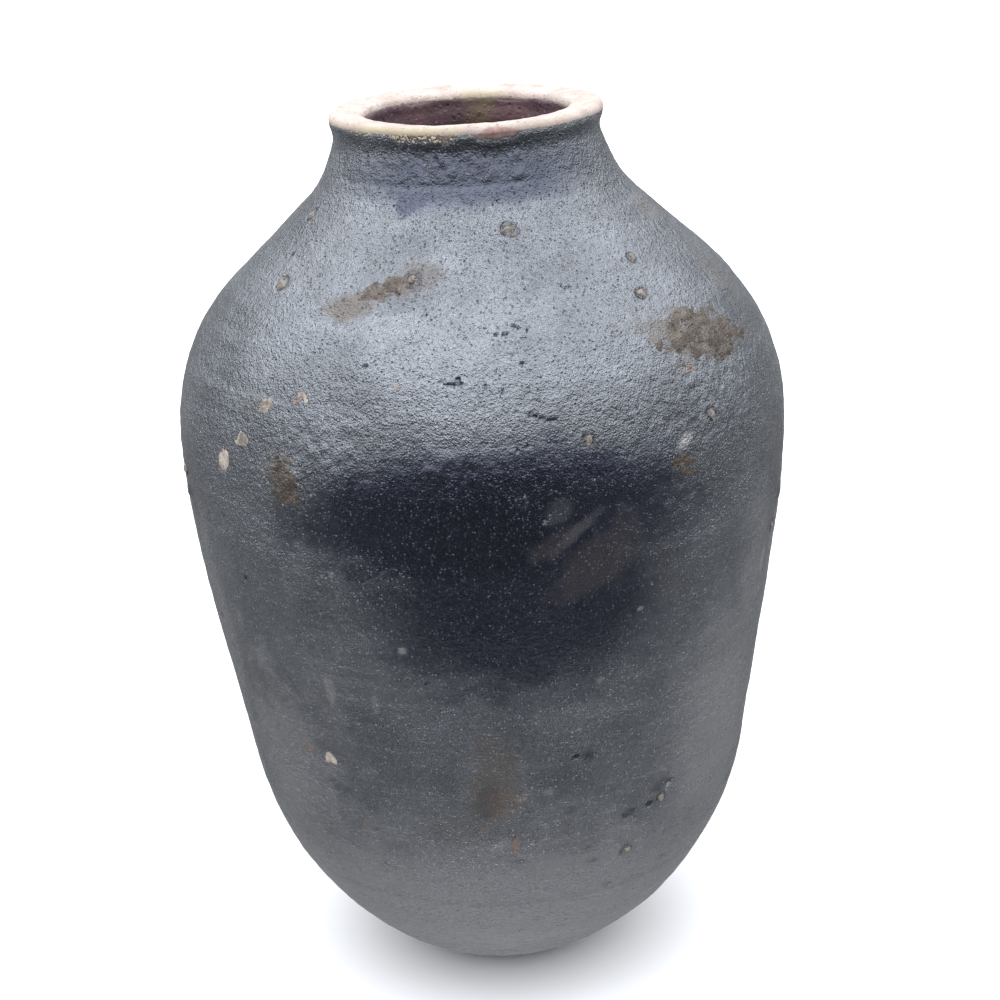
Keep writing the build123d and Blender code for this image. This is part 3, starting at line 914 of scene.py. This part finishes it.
class POT_OT_clay_courses(bpy.types.Operator):
    """Makes the courses of clay that the wall is built from, with the bare worn foot"""
    bl_idname = "clay_pot.clay_courses"
    bl_label = "Clay Courses"
    bl_options = {"REGISTER", "UNDO"}

    def execute(self, context):
        look = pot().finishes
        dark = shade(look.clay_colour, 0.55)
        body = clay_material("Fired clay body", look.clay_colour, dark, 0.001, 0.0005, 0.03, 0.8)
        depth = pot().form.coat_thickness + 0.0006
        inner = pot().form.lining_thickness + 0.0002
        for k, node in enumerate(WALL_NODES[:-1]):
            columns = FOOT_COLUMNS if k == 0 else COURSE_COLUMNS
            top_out, top_in = float(WALL.outside(JOINTS[k])), float(WALL.inside(JOINTS[k]))
            if k == 0:
                edge = float(WALL.outside(COAT_FOOT)) + 0.002
                up = np.concatenate((np.linspace(0, edge, 56), np.linspace(edge, top_out, 22)[1:]))
                down = np.linspace(top_in, WALL.length, 40)
            else:
                up = np.linspace(float(WALL.outside(JOINTS[k - 1])), top_out, 26)
                down = np.linspace(top_in, float(WALL.inside(JOINTS[k - 1])), 22)
            s = np.concatenate((up, down))[:, None] * np.ones(columns)
            a = np.broadcast_to(angles_of(columns), s.shape)
            p, out = WALL.base(a, s)
            outside = s < WALL.turn
            lift = np.where(outside, slow_relief(p) - depth, -inner + inside_slow(p))
            if k == 0:
                bare = 1 - ease(s, edge, edge + 0.004)
                lift = np.where(outside, lift * (1 - bare) + foot_relief(a, s, p) * bare, lift)
            rows = p + out * lift[..., None]
            rows[..., 2] = np.maximum(rows[..., 2], 0.0)
            obj = turned_mesh("course_" + node, rows, pole_first=k == 0, pole_last=k == 0)
            finish_piece(obj, body, "fired_clay", node)
        return {"FINISHED"}


def inside_slow(p):
    return MM * (0.5 * swell(p, 0.09, 131) + 0.3 * swell(p, 0.03, 133))


# Yellow stretches along the outer edge of the lip: middle and half width in degrees, strength
YELLOW_STRETCHES = [(-30, 26, 0.8), (-12, 12, 0.7), (36, 16, 0.45), (150, 20, 0.7), (236, 18, 0.6), (-58, 14, 0.5)]


class POT_OT_bare_lip(bpy.types.Operator):
    """Makes the thick bare lip, with its chips and uneven edge"""
    bl_idname = "clay_pot.bare_lip"
    bl_label = "Bare Lip"
    bl_options = {"REGISTER", "UNDO"}

    def execute(self, context):
        look = pot().finishes
        start, end = float(WALL.outside(JOINTS[4])), float(WALL.inside(JOINTS[4]))
        s = np.linspace(start, end, LIP_ROWS)[:, None] * np.ones(COLUMNS)
        a = np.broadcast_to(angles_of(COLUMNS), s.shape)
        p, out = WALL.base(a, s)
        buried = 1 - ease(s, WALL.outside(0.3955) + COAT_OVER_LIP, WALL.outside(0.3975) + COAT_OVER_LIP)
        lined = ease(s, WALL.inside(0.3975), WALL.inside(0.3950))
        lift = slow_relief(p) * (1 - 0.6 * ease(s, WALL.outside(0.399), WALL.inside(0.399)))
        for height, size, seed in ((0.40, 0.017, 141), (0.22, 0.006, 143), (0.12, 0.0026, 145), (0.06, 0.0013, 147)):
            lift += MM * height * swell(p, size, seed)
        outer_edge = np.exp(-((s - WALL.outside(0.3984)) / 0.0028) ** 2)
        inner_edge = np.exp(-((s - WALL.inside(0.3990)) / 0.0022) ** 2)
        chips = 0.9 * pocks(p, 0.0085, 0.0030, 0.55, 149) + 0.5 * pocks(p, 0.0042, 0.0016, 0.6, 151)
        lift -= MM * (outer_edge + 0.8 * inner_edge) * chips
        lift -= MM * (0.35 * pocks(p, 0.006, 0.0009, 0.6, 153) - 0.3 * pocks(p, 0.005, 0.0009, 0.6, 155))
        lift -= 0.0009 * buried + 0.0008 * lined
        lift += 0.0009 * np.exp(-((s - WALL.outside(0.3990)) / 0.0020) ** 2)
        over_lip = ease(s, WALL.outside(0.3993), WALL.inside(0.3995))
        lift += FLARE * MM * ease(s, FLARE_FROM, FLARE_TO) * (1 - over_lip)
        # The large pink chip on the front, measured from its middle
        ragged = 1 + 0.35 * swell(p, 0.004, 157) + 0.2 * swell(p, 0.0015, 158)
        chip = off_mark(a, s, 12, 396.0, 9.0, 3.2) * ragged + 2 * ease(s, WALL.outside(0.3988), WALL.outside(0.3998))
        lift -= (0.0004 + 0.0006 * swell(p, 0.0022, 159)) * (1 - ease(chip, 0.7, 1.1))
        yellow = np.zeros(a.shape)
        strip = 1 - ease(np.abs(s - WALL.outside(0.3972)) / 0.0032, 0.5, 1.5)
        for middle, wide, strength in YELLOW_STRETCHES:
            near = 1 - ease(np.abs(degrees_between(a, middle)) / wide, 0.6, 1.2)
            yellow = np.maximum(yellow, strength * near * strip)
        back = 1 - ease(np.abs(degrees_between(a, 171)) / 16, 0.5, 1.2)
        yellow = np.maximum(yellow, 0.75 * back * ease(s, WALL.outside(0.3999), WALL.inside(0.398)))
        rows = p + out * lift[..., None]
        attributes = {"pink": 1 - ease(chip, 0.85, 1.15), "yellow": yellow, "smoke": np.maximum(lined, buried)}

        def tints(tree, tone, place):
            fray = times(tree, minus(tree, noise(tree, place, 700.0, 3.0, 0.7), 0.5), 1.3)
            pink, smoke = (0.34, 0.20, 0.18), (0.10, 0.07, 0.065)
            for name, tint in (("yellow", look.ochre_colour), ("pink", pink), ("smoke", smoke)):
                here = mask(tree, name)
                inside = least(tree, times(tree, here, 5.0), 0.85)
                share = times(tree, spread(tree, plus(tree, here, fray), 0.35, 0.9), inside)
                tone = blend(tree, share, tone, shade(tint))
            return tone

        material = clay_material("Bare pink clay", look.lip_colour, look.lip_shade, 0.0008, 0.0004, 0.012, 0.72, tints)
        obj = turned_mesh("bare_lip", rows, seen=LIP_ROWS, attributes=attributes)
        finish_piece(obj, material, "bare_lip", "rim_coil")
        return {"FINISHED"}


class POT_OT_inner_lining(bpy.types.Operator):
    """Makes the dark slip inside, with the ridges left by fingers"""
    bl_idname = "clay_pot.inner_lining"
    bl_label = "Inner Lining"
    bl_options = {"REGISTER", "UNDO"}

    def execute(self, context):
        look = pot().finishes
        angle = angles_of(LINING_COLUMNS)
        start = WALL.inside(TOP - 0.0030) + edge_wander(angle, 161, 0.0012)
        s = start + (WALL.length - start) * (np.linspace(0, 1, LINING_ROWS) ** 1.15)[:, None]
        a = np.broadcast_to(angle, s.shape)
        p, out = WALL.base(a, s)
        spiral = p[..., 2] / 0.0095 + a / (2 * math.pi) + 0.35 * swell(p, 0.03, 163)
        ridge = np.abs(np.sin(math.pi * spiral)) ** 0.8 - 0.5
        wall_part = ease(p[..., 2], 0.012, 0.045)
        fingers = 0.55 * ridge + 0.25 * swell(p, 0.009, 165) + 0.14 * swell(p, 0.0034, 167)
        lift = inside_slow(p) + MM * wall_part * fingers
        lift -= 0.0004 * (1 - ease(s - start, 0, 0.0012))
        seen = p + out * lift[..., None]
        hidden_s = start + (WALL.length - start) * np.linspace(1, 0, LINING_BACK_ROWS)[:, None]
        q, q_out = WALL.base(np.broadcast_to(angle, hidden_s.shape), hidden_s)
        hidden = q + q_out * (inside_slow(q) - pot().form.lining_thickness)[..., None]
        away = np.abs(degrees_between(a, 172 + 3 * swell(p, 0.02, 169)))
        streak = (1 - ease(away, 3, 13)) * ease(p[..., 2], 0.30, 0.34)

        def tints(tree, tone, place):
            run_down = (0.105, 0.075, 0.045, 1)
            return blend(tree, times(tree, mask(tree, "streak"), 0.7), tone, run_down)

        # One value for each point, and the first and last rows are single points
        values = np.concatenate((np.zeros(1 + (LINING_BACK_ROWS - 1) * LINING_COLUMNS), streak[:-1].reshape(-1), [0.0]))
        material = clay_material("Dark slip inside", look.lining_colour, look.lining_shade, 0.0012, 0.0006, 0.035, 0.6,
                                 tints)
        rows = np.concatenate((hidden, seen))
        obj = turned_mesh("inner_lining", rows, pole_first=True, pole_last=True, attributes={"streak": values})
        finish_piece(obj, material, "inner_slip", "inner_slip")
        return {"FINISHED"}


def pebble_tree(name, material, divisions):
    """Geometry nodes that set a rough pebble on every point, to the size that the point carries."""
    tree = bpy.data.node_groups.new(name, "GeometryNodeTree")
    for label, kind, default in (
            ("Geometry", "NodeSocketGeometry", None), ("Size", "NodeSocketFloat", 1.0),
            ("Flatness", "NodeSocketFloat", 0.75), ("Roughness", "NodeSocketFloat", 0.25),
            ("Knobble", "NodeSocketFloat", 0.001), ("Seed", "NodeSocketInt", 7)):
        socket = tree.interface.new_socket(label, in_out="INPUT", socket_type=kind)
        if default is not None:
            socket.default_value = default
    tree.interface.new_socket("Geometry", in_out="OUTPUT", socket_type="NodeSocketGeometry")
    given = tree.nodes.new("NodeGroupInput").outputs

    def step(kind, inputs=None, output=0, **settings):
        return add(tree, kind, inputs, **settings).outputs[output]

    def drawn(low, high):
        inputs = {0: low, 1: high, "Seed": given["Seed"]}
        return step("FunctionNodeRandomValue", inputs, data_type="FLOAT_VECTOR")

    radius = step("GeometryNodeInputNamedAttribute", {"Name": "pebble_size"}, data_type="FLOAT")
    outward = step("GeometryNodeInputNamedAttribute", {"Name": "outward"}, data_type="FLOAT_VECTOR")
    stone = step("GeometryNodeMeshIcoSphere", {"Radius": 1.0, "Subdivisions": divisions})
    turn = drawn((0.0, 0.0, 0.0), (0.0, 0.0, 6.283))
    faced = step("FunctionNodeAlignRotationToVector", {"Rotation": turn, "Vector": outward}, axis="Z")
    squat = step("ShaderNodeCombineXYZ", {0: 1.0, 1: 1.0, 2: given["Flatness"]})
    shape = vector(tree, "MULTIPLY", drawn((0.75, 0.65, 0.8), (1.3, 1.15, 1.1)), squat)
    scale = vector(tree, "SCALE", shape, times(tree, radius, given["Size"]))
    points = step("GeometryNodeMeshToPoints", {"Mesh": given["Geometry"]})
    placed = step("GeometryNodeInstanceOnPoints",
                  {"Points": points, "Instance": stone, "Rotation": faced, "Scale": scale})
    real = step("GeometryNodeRealizeInstances", {0: placed})
    per_metre = over(tree, 1.0, given["Knobble"])
    where = step("GeometryNodeInputPosition")
    knobs = step("ShaderNodeTexNoise", {"Vector": where, "Scale": per_metre, "Detail": 2.0}, 1)
    centred = vector(tree, "SUBTRACT", knobs, (0.5, 0.5, 0.5))
    moved = vector(tree, "SCALE", centred, times(tree, given["Knobble"], given["Roughness"]))
    rough = step("GeometryNodeSetPosition", {"Geometry": real, "Offset": moved})
    smooth = step("GeometryNodeSetShadeSmooth", {0: rough})
    tinted = step("GeometryNodeSetMaterial", {"Geometry": smooth, "Material": material})
    tree.links.new(tinted, tree.nodes.new("NodeGroupOutput").inputs[0])
    return tree


def pebbles(name, places, material, divisions, settings):
    """A plain mesh of pebbles, made by geometry nodes from a list of place, outward direction and radius."""
    seat = bpy.data.meshes.new(name + "_seats")
    seat.from_pydata([tuple(place) for place, _, _ in places], [], [])
    sizes = seat.attributes.new("pebble_size", "FLOAT", "POINT")
    sizes.data.foreach_set("value", [radius for _, _, radius in places])
    outward = seat.attributes.new("outward", "FLOAT_VECTOR", "POINT")
    outward.data.foreach_set("vector", [x for _, out, _ in places for x in out])
    obj = bpy.data.objects.new(name, seat)
    bpy.context.scene.collection.objects.link(obj)
    tree = pebble_tree(name.replace("_", " ").title(), material, divisions)
    modifier = obj.modifiers.new("Pebbles", "NODES")
    modifier.node_group = tree
    for item in tree.interface.items_tree:
        if item.in_out == "INPUT" and item.name in settings:
            modifier[item.identifier] = settings[item.name]
    bpy.context.view_layer.update()
    evaluated = obj.evaluated_get(bpy.context.evaluated_depsgraph_get())
    made = bpy.data.meshes.new_from_object(evaluated)
    made.name = name
    obj.modifiers.clear()
    obj.data = made
    bpy.data.meshes.remove(seat)
    for spent in [a.name for a in made.attributes if a.name in ("pebble_size", "outward")]:
        made.attributes.remove(made.attributes[spent])
    return obj


def on_coat(angles_degrees, levels_mm):
    """Places on the coat with its relief, and the outward directions there."""
    a, s = np.radians(np.array(angles_degrees)), WALL.outside(np.array(levels_mm) * MM)
    p, out = WALL.base(a, s)
    return p + out * coat_relief(a, s, p)[:, None], out


# Where coarse sand gathers: angle, height, spread in degrees, spread in millimetres
SAND_ZONES = ((44, 296, 26, 20), (-30, 286, 20, 12), (-36, 275, 8, 10), (-3, 384, 34, 8), (160, 290, 30, 18),
              (225, 262, 24, 16))


class POT_OT_temper_stones(bpy.types.Operator):
    """Makes the stones that break through the coat, and the coarse sand round them"""
    bl_idname = "clay_pot.temper_stones"
    bl_label = "Temper Stones"
    bl_options = {"REGISTER", "UNDO"}

    def execute(self, context):
        look = pot().finishes
        dark = shade(look.stone_colour, 0.45)
        material = clay_material("Temper stone", look.stone_colour, dark, 0.0007, 0.0003, 0.004, 0.65)
        spots, outs = on_coat(*zip(*[(angle, level) for angle, level, _ in STONES]))
        radii = [radius * MM for _, _, radius in STONES]
        places = [(spot - out * 0.25 * size, out, size * 0.85) for spot, out, size in zip(spots, outs, radii)]
        stones = pebbles("set_stones", places, material, 4,
                         {"Size": 1.0, "Flatness": 0.55, "Roughness": 1.5, "Knobble": 0.0026, "Seed": 11})
        finish_piece(stones, material, "temper_stone", "temper_stones")
        draw = random.Random(23)
        angles, levels, sizes = [], [], []
        for _ in range(pot().form.speck_count):
            if draw.random() < 0.55:
                middle, level, wide, high = SAND_ZONES[draw.randrange(len(SAND_ZONES))]
                angles.append(draw.gauss(middle, wide * 0.45))
                levels.append(min(392.0, max(20.0, draw.gauss(level, high * 0.5))))
            else:
                angles.append(draw.uniform(-180, 180))
                levels.append(draw.uniform(14, 388))
            sizes.append(0.00028 + 0.00042 * draw.random() ** 2)
        spots, outs = on_coat(angles, levels)
        specks = [(spot - out * size * 0.35, out, size) for spot, out, size in zip(spots, outs, sizes)]
        pale = clay_material("Coarse sand", shade(look.stone_colour, 0.95), shade(look.coat_colour, 0.5),
                             0.0005, 0.0002, 0.003, 0.5)
        sand = pebbles("coarse_sand", specks, pale, 2,
                       {"Size": 1.0, "Flatness": 0.8, "Roughness": 0.5, "Knobble": 0.0006, "Seed": 13})
        finish_piece(sand, pale, "temper_stone")
        return {"FINISHED"}


def deposit(turn_degrees, s_mid, middle, half_wide, half_high, thickness, seed, lumps):
    """Rings of points for one patch that lies on the coat and thins out at an uneven edge."""
    rings, spokes = (12, 48) if half_wide < 0.008 else (26, 120)
    turn = np.arange(spokes) * (2 * math.pi / spokes)
    circle = np.stack((np.cos(turn), np.sin(turn), np.zeros(spokes)), -1) * 0.01
    edge = 1 + 0.30 * swell(circle + seed, 0.008, seed) + 0.16 * swell(circle + seed, 0.003, seed + 1)
    under = 5
    rho = np.concatenate((np.linspace(0, 1, under), np.linspace(1, 0, rings + 1)[1:]))[:, None]
    hidden = (np.arange(len(rho)) < under)[:, None]
    tilt = math.radians(turn_degrees)
    u, v = rho * edge * np.cos(turn) * half_wide, rho * edge * np.sin(turn) * half_high
    u, v = u * math.cos(tilt) - v * math.sin(tilt), u * math.sin(tilt) + v * math.cos(tilt)
    r0 = float(np.interp(s_mid, WALL.s, WALL.r))
    a, s = math.radians(middle) + u / r0, s_mid + v
    p, out = WALL.base(a, s)
    ground = coat_relief(a, s, p)
    uneven = 0.5 * swell(p, 0.0042, seed + 2) + 0.35 * swell(p, 0.0019, seed + 3) + 0.25 * swell(p, 0.001, seed + 4)
    body = thickness * (1 - rho ** 3) * (0.55 + lumps * uneven)
    crumbs = thickness * 0.6 * lumps * pocks(p, 0.0034, 0.0012, 0.6, seed + 5) * (1 - rho ** 2)
    sunk = 0.00012 + 0.0003 * ease(rho, 0.9, 1.0)
    lift = np.where(hidden, ground - 0.0007, ground + body + crumbs - sunk)
    return p + out * lift[..., None]


def patch_group(name, node, thickness, lumps, material, slot, seed):
    """One piece for all the deposits of a kind, each where the frame has it."""
    objects = []
    for k, (middle, part) in enumerate(islands(node)):
        angle, level = spot_of(middle)
        direction = np.array((math.cos(math.radians(angle)), math.sin(math.radians(angle)), 0))
        s_mid = float(WALL.outside(level * MM))
        _, out = WALL.base(np.array(math.radians(angle)), np.array(s_mid))
        rise = np.cross(out, direction)
        flat = np.stack(((part - middle) @ direction, (part - middle) @ rise), -1)
        axes = np.linalg.eigh(np.cov(flat.T))[1]
        long_side = axes[:, 1] * (1 if axes[0, 1] >= 0 else -1)
        turn = math.degrees(math.atan2(long_side[1], long_side[0]))
        across = flat @ np.array((-long_side[1], long_side[0]))
        half_wide, half_high = np.abs(flat @ long_side).max(), np.abs(across).max()
        rows = deposit(turn, s_mid, angle, half_wide, half_high, thickness, seed + 7 * k, lumps)
        objects.append(turned_mesh(f"{name}_{k}", rows, pole_first=True, pole_last=True))
    first = objects[0]
    with bpy.context.temp_override(active_object=first, selected_editable_objects=objects, object=first):
        bpy.ops.object.join()
    first.name = first.data.name = name
    finish_piece(first, material, slot, node)


class POT_OT_earth_crusts(bpy.types.Operator):
    """Makes the thin crusts of brown earth that cling to the coat"""
    bl_idname = "clay_pot.earth_crusts"
    bl_label = "Earth Crusts"
    bl_options = {"REGISTER", "UNDO"}

    def execute(self, context):
        brown = pot().finishes.umber_colour
        material = clay_material("Brown earth crust", shade(brown, 1.15), shade(brown, 0.6), 0.0007, 0.0011, 0.005, 0.5,
                                 metal=0.7)
        patch_group("crusts_of_earth", "earth_crusts", 0.00045, 1.3, material, "earth", 201)
        return {"FINISHED"}


class POT_OT_lime_spots(bpy.types.Operator):
    """Makes the small cream spots of lime"""
    bl_idname = "clay_pot.lime_spots"
    bl_label = "Lime Spots"
    bl_options = {"REGISTER", "UNDO"}

    def execute(self, context):
        look = pot().finishes
        material = clay_material("Cream lime", look.lime_colour, look.umber_colour, 0.0007, 0.0004, 0.005, 0.8)
        patch_group("spots_of_lime", "lime_spots", 0.00075, 1.2, material, "lime", 301)
        return {"FINISHED"}


class POT_OT_ochre_crumbs(bpy.types.Operator):
    """Makes the ochre crumbs that cling under the outer edge of the lip"""
    bl_idname = "clay_pot.ochre_crumbs"
    bl_label = "Ochre Crumbs"
    bl_options = {"REGISTER", "UNDO"}

    def execute(self, context):
        look = pot().finishes
        material = clay_material("Yellow ochre", look.ochre_colour, look.lip_shade, 0.0006, 0.0003, 0.004, 0.85)
        draw = random.Random(41)
        places = []
        heavy = [(spot_of(middle)[0], 7.0) for middle, _ in islands("ochre_crumbs")]
        heavy += [(-30, 12.0), (-12, 6.0), (-45, 8.0)]
        for _ in range(pot().form.crumb_count):
            middle, wide = heavy[draw.randrange(len(heavy))]
            angle = math.radians(draw.gauss(middle, wide * 0.8))
            top = float(coat_top(np.array([angle]))[0])
            s = np.array([top + draw.gauss(0.0, 0.0013)])
            p, out = WALL.base(np.array([angle]), s)
            size = 0.00020 + 0.00045 * draw.random() ** 2
            ground = slow_relief(p)[0] + 0.0008 * float(ease(s[0], FLARE_FROM, FLARE_TO))
            lift = ground - 0.0002 - 0.0001 * draw.random()
            places.append((p[0] + out[0] * lift, out[0], size))
        obj = pebbles("crumbs_of_ochre", places, material, 2,
                      {"Size": 1.0, "Flatness": 0.7, "Roughness": 0.7, "Knobble": 0.0008, "Seed": 17})
        finish_piece(obj, material, "ochre", "ochre_crumbs")
        return {"FINISHED"}


# ---------------------------------------------------------------- the studio

class POT_OT_studio(bpy.types.Operator):
    """Sets up the pale floor, the soft light and the camera"""
    bl_idname = "clay_pot.studio"
    bl_label = "Studio"
    bl_options = {"REGISTER", "UNDO"}

    def execute(self, context):
        setup = pot().studio
        self.floor(setup)
        self.sky(setup)
        self.camera(setup)
        bpy.context.scene.view_settings.view_transform = "Standard"
        return {"FINISHED"}

    def floor(self, setup):
        half = 8.0
        mesh = bpy.data.meshes.new("floor")
        mesh.from_pydata([(-half, -half, 0), (half, -half, 0), (half, half, 0), (-half, half, 0)], [], [(0, 1, 2, 3)])
        floor = bpy.data.objects.new("floor", mesh)
        bpy.context.scene.collection.objects.link(floor)
        floor.location.z = -0.0002
        material, tree, shader, place = new_material("Pale studio floor")
        pale = blend(tree, noise(tree, place, 3.0), shade(setup.floor_colour), shade(setup.floor_colour, 0.97))
        fill(tree, shader, {"Base Color": pale, "Roughness": 0.9})
        mesh.materials.append(material)
        floor.visible_glossy = False

    def sky(self, setup):
        world = bpy.data.worlds.new("Soft studio light")
        bpy.context.scene.world = world
        world.use_nodes = True
        tree = world.node_tree
        tree.nodes.clear()
        seen = tree.nodes.new("ShaderNodeTexCoord").outputs["Generated"]
        way = add(tree, "ShaderNodeSeparateXYZ", {0: seen}).outputs
        back = spread(tree, way[1], -0.75, 0.35)
        side = spread(tree, unsigned(tree, way[0]), 0.35, 0.95)
        raised = plus(tree, way[2], times(tree, side, 0.15))
        above = times(tree, spread(tree, raised, 0.24, 0.52, 0.02, 1.0), setup.sky_light)
        around = spread(tree, most(tree, back, side), 0.0, 1.0, setup.low_light, setup.side_light)
        near = spread(tree, way[2], -0.62, -0.95, 0.0, 0.95)
        below = most(tree, around, near)
        upper = spread(tree, way[2], -0.03, 0.05)
        strength = add(tree, "ShaderNodeMix", {0: upper, 2: below, 3: above}).outputs[0]
        glow = add(tree, "ShaderNodeBackground", {"Color": (0.955, 0.975, 1.0, 1.0), "Strength": strength})
        tree.links.new(glow.outputs[0], tree.nodes.new("ShaderNodeOutputWorld").inputs[0])
        lamp = bpy.data.lights.new("overhead_softbox", "AREA")
        lamp.shape, lamp.size, lamp.size_y = "RECTANGLE", 1.4, 1.0
        lamp.energy = 9.0
        lamp.color = (0.97, 0.985, 1.0)
        box = bpy.data.objects.new("overhead_softbox", lamp)
        bpy.context.scene.collection.objects.link(box)
        box.location = (-0.15, -0.35, 1.45)
        box.rotation_euler = (math.radians(-12), 0, 0)
        box.visible_camera = False

    def camera(self, setup):
        data = bpy.data.cameras.new("camera")
        data.lens, data.sensor_width = setup.lens, 36.0
        data.clip_start, data.clip_end = 0.01, 50.0
        camera = bpy.data.objects.new("camera", data)
        bpy.context.scene.collection.objects.link(camera)
        ahead = Vector(setup.camera_target) - Vector(setup.camera_place)
        camera.rotation_mode = "QUATERNION"
        camera.location = setup.camera_place
        roll = Matrix.Rotation(setup.camera_roll, 3, "Z").to_quaternion()
        camera.rotation_quaternion = ahead.to_track_quat("-Z", "Y") @ roll
        bpy.context.scene.camera = camera


STEPS = (POT_OT_clay_courses, POT_OT_black_coat, POT_OT_bare_lip, POT_OT_inner_lining, POT_OT_temper_stones,
         POT_OT_earth_crusts, POT_OT_lime_spots, POT_OT_ochre_crumbs, POT_OT_studio)


class POT_PT_sidebar(bpy.types.Panel):
    """Lists the sizes and colours of the pot and the steps that make it"""
    bl_idname = "POT_PT_sidebar"
    bl_label = "Black Clay Pot"
    bl_space_type = "VIEW_3D"
    bl_region_type = "UI"
    bl_category = "Clay Pot"

    def draw(self, context):
        settings = context.scene.clay_pot
        for title, part in (("Form", settings.form), ("Finishes", settings.finishes), ("Studio", settings.studio)):
            box = self.layout.box()
            box.label(text=title)
            for key in part.bl_rna.properties.keys():
                if key not in ("rna_type", "name"):
                    box.prop(part, key)
        for step in STEPS:
            self.layout.operator(step.bl_idname)


CLASSES = (POT_PG_form, POT_PG_finishes, POT_PG_studio, POT_PG_all, *STEPS, POT_PT_sidebar)


def register():
    for cls in CLASSES:
        bpy.utils.register_class(cls)
    bpy.types.Scene.clay_pot = bpy.props.PointerProperty(type=POT_PG_all)


def unregister():
    del bpy.types.Scene.clay_pot
    for cls in reversed(CLASSES):
        bpy.utils.unregister_class(cls)


def main():
    register()
    for step in STEPS:
        family, name = step.bl_idname.split(".")
        getattr(getattr(bpy.ops, family), name)()
    bpy.context.view_layer.update()


if __name__ == "__main__":
    main()
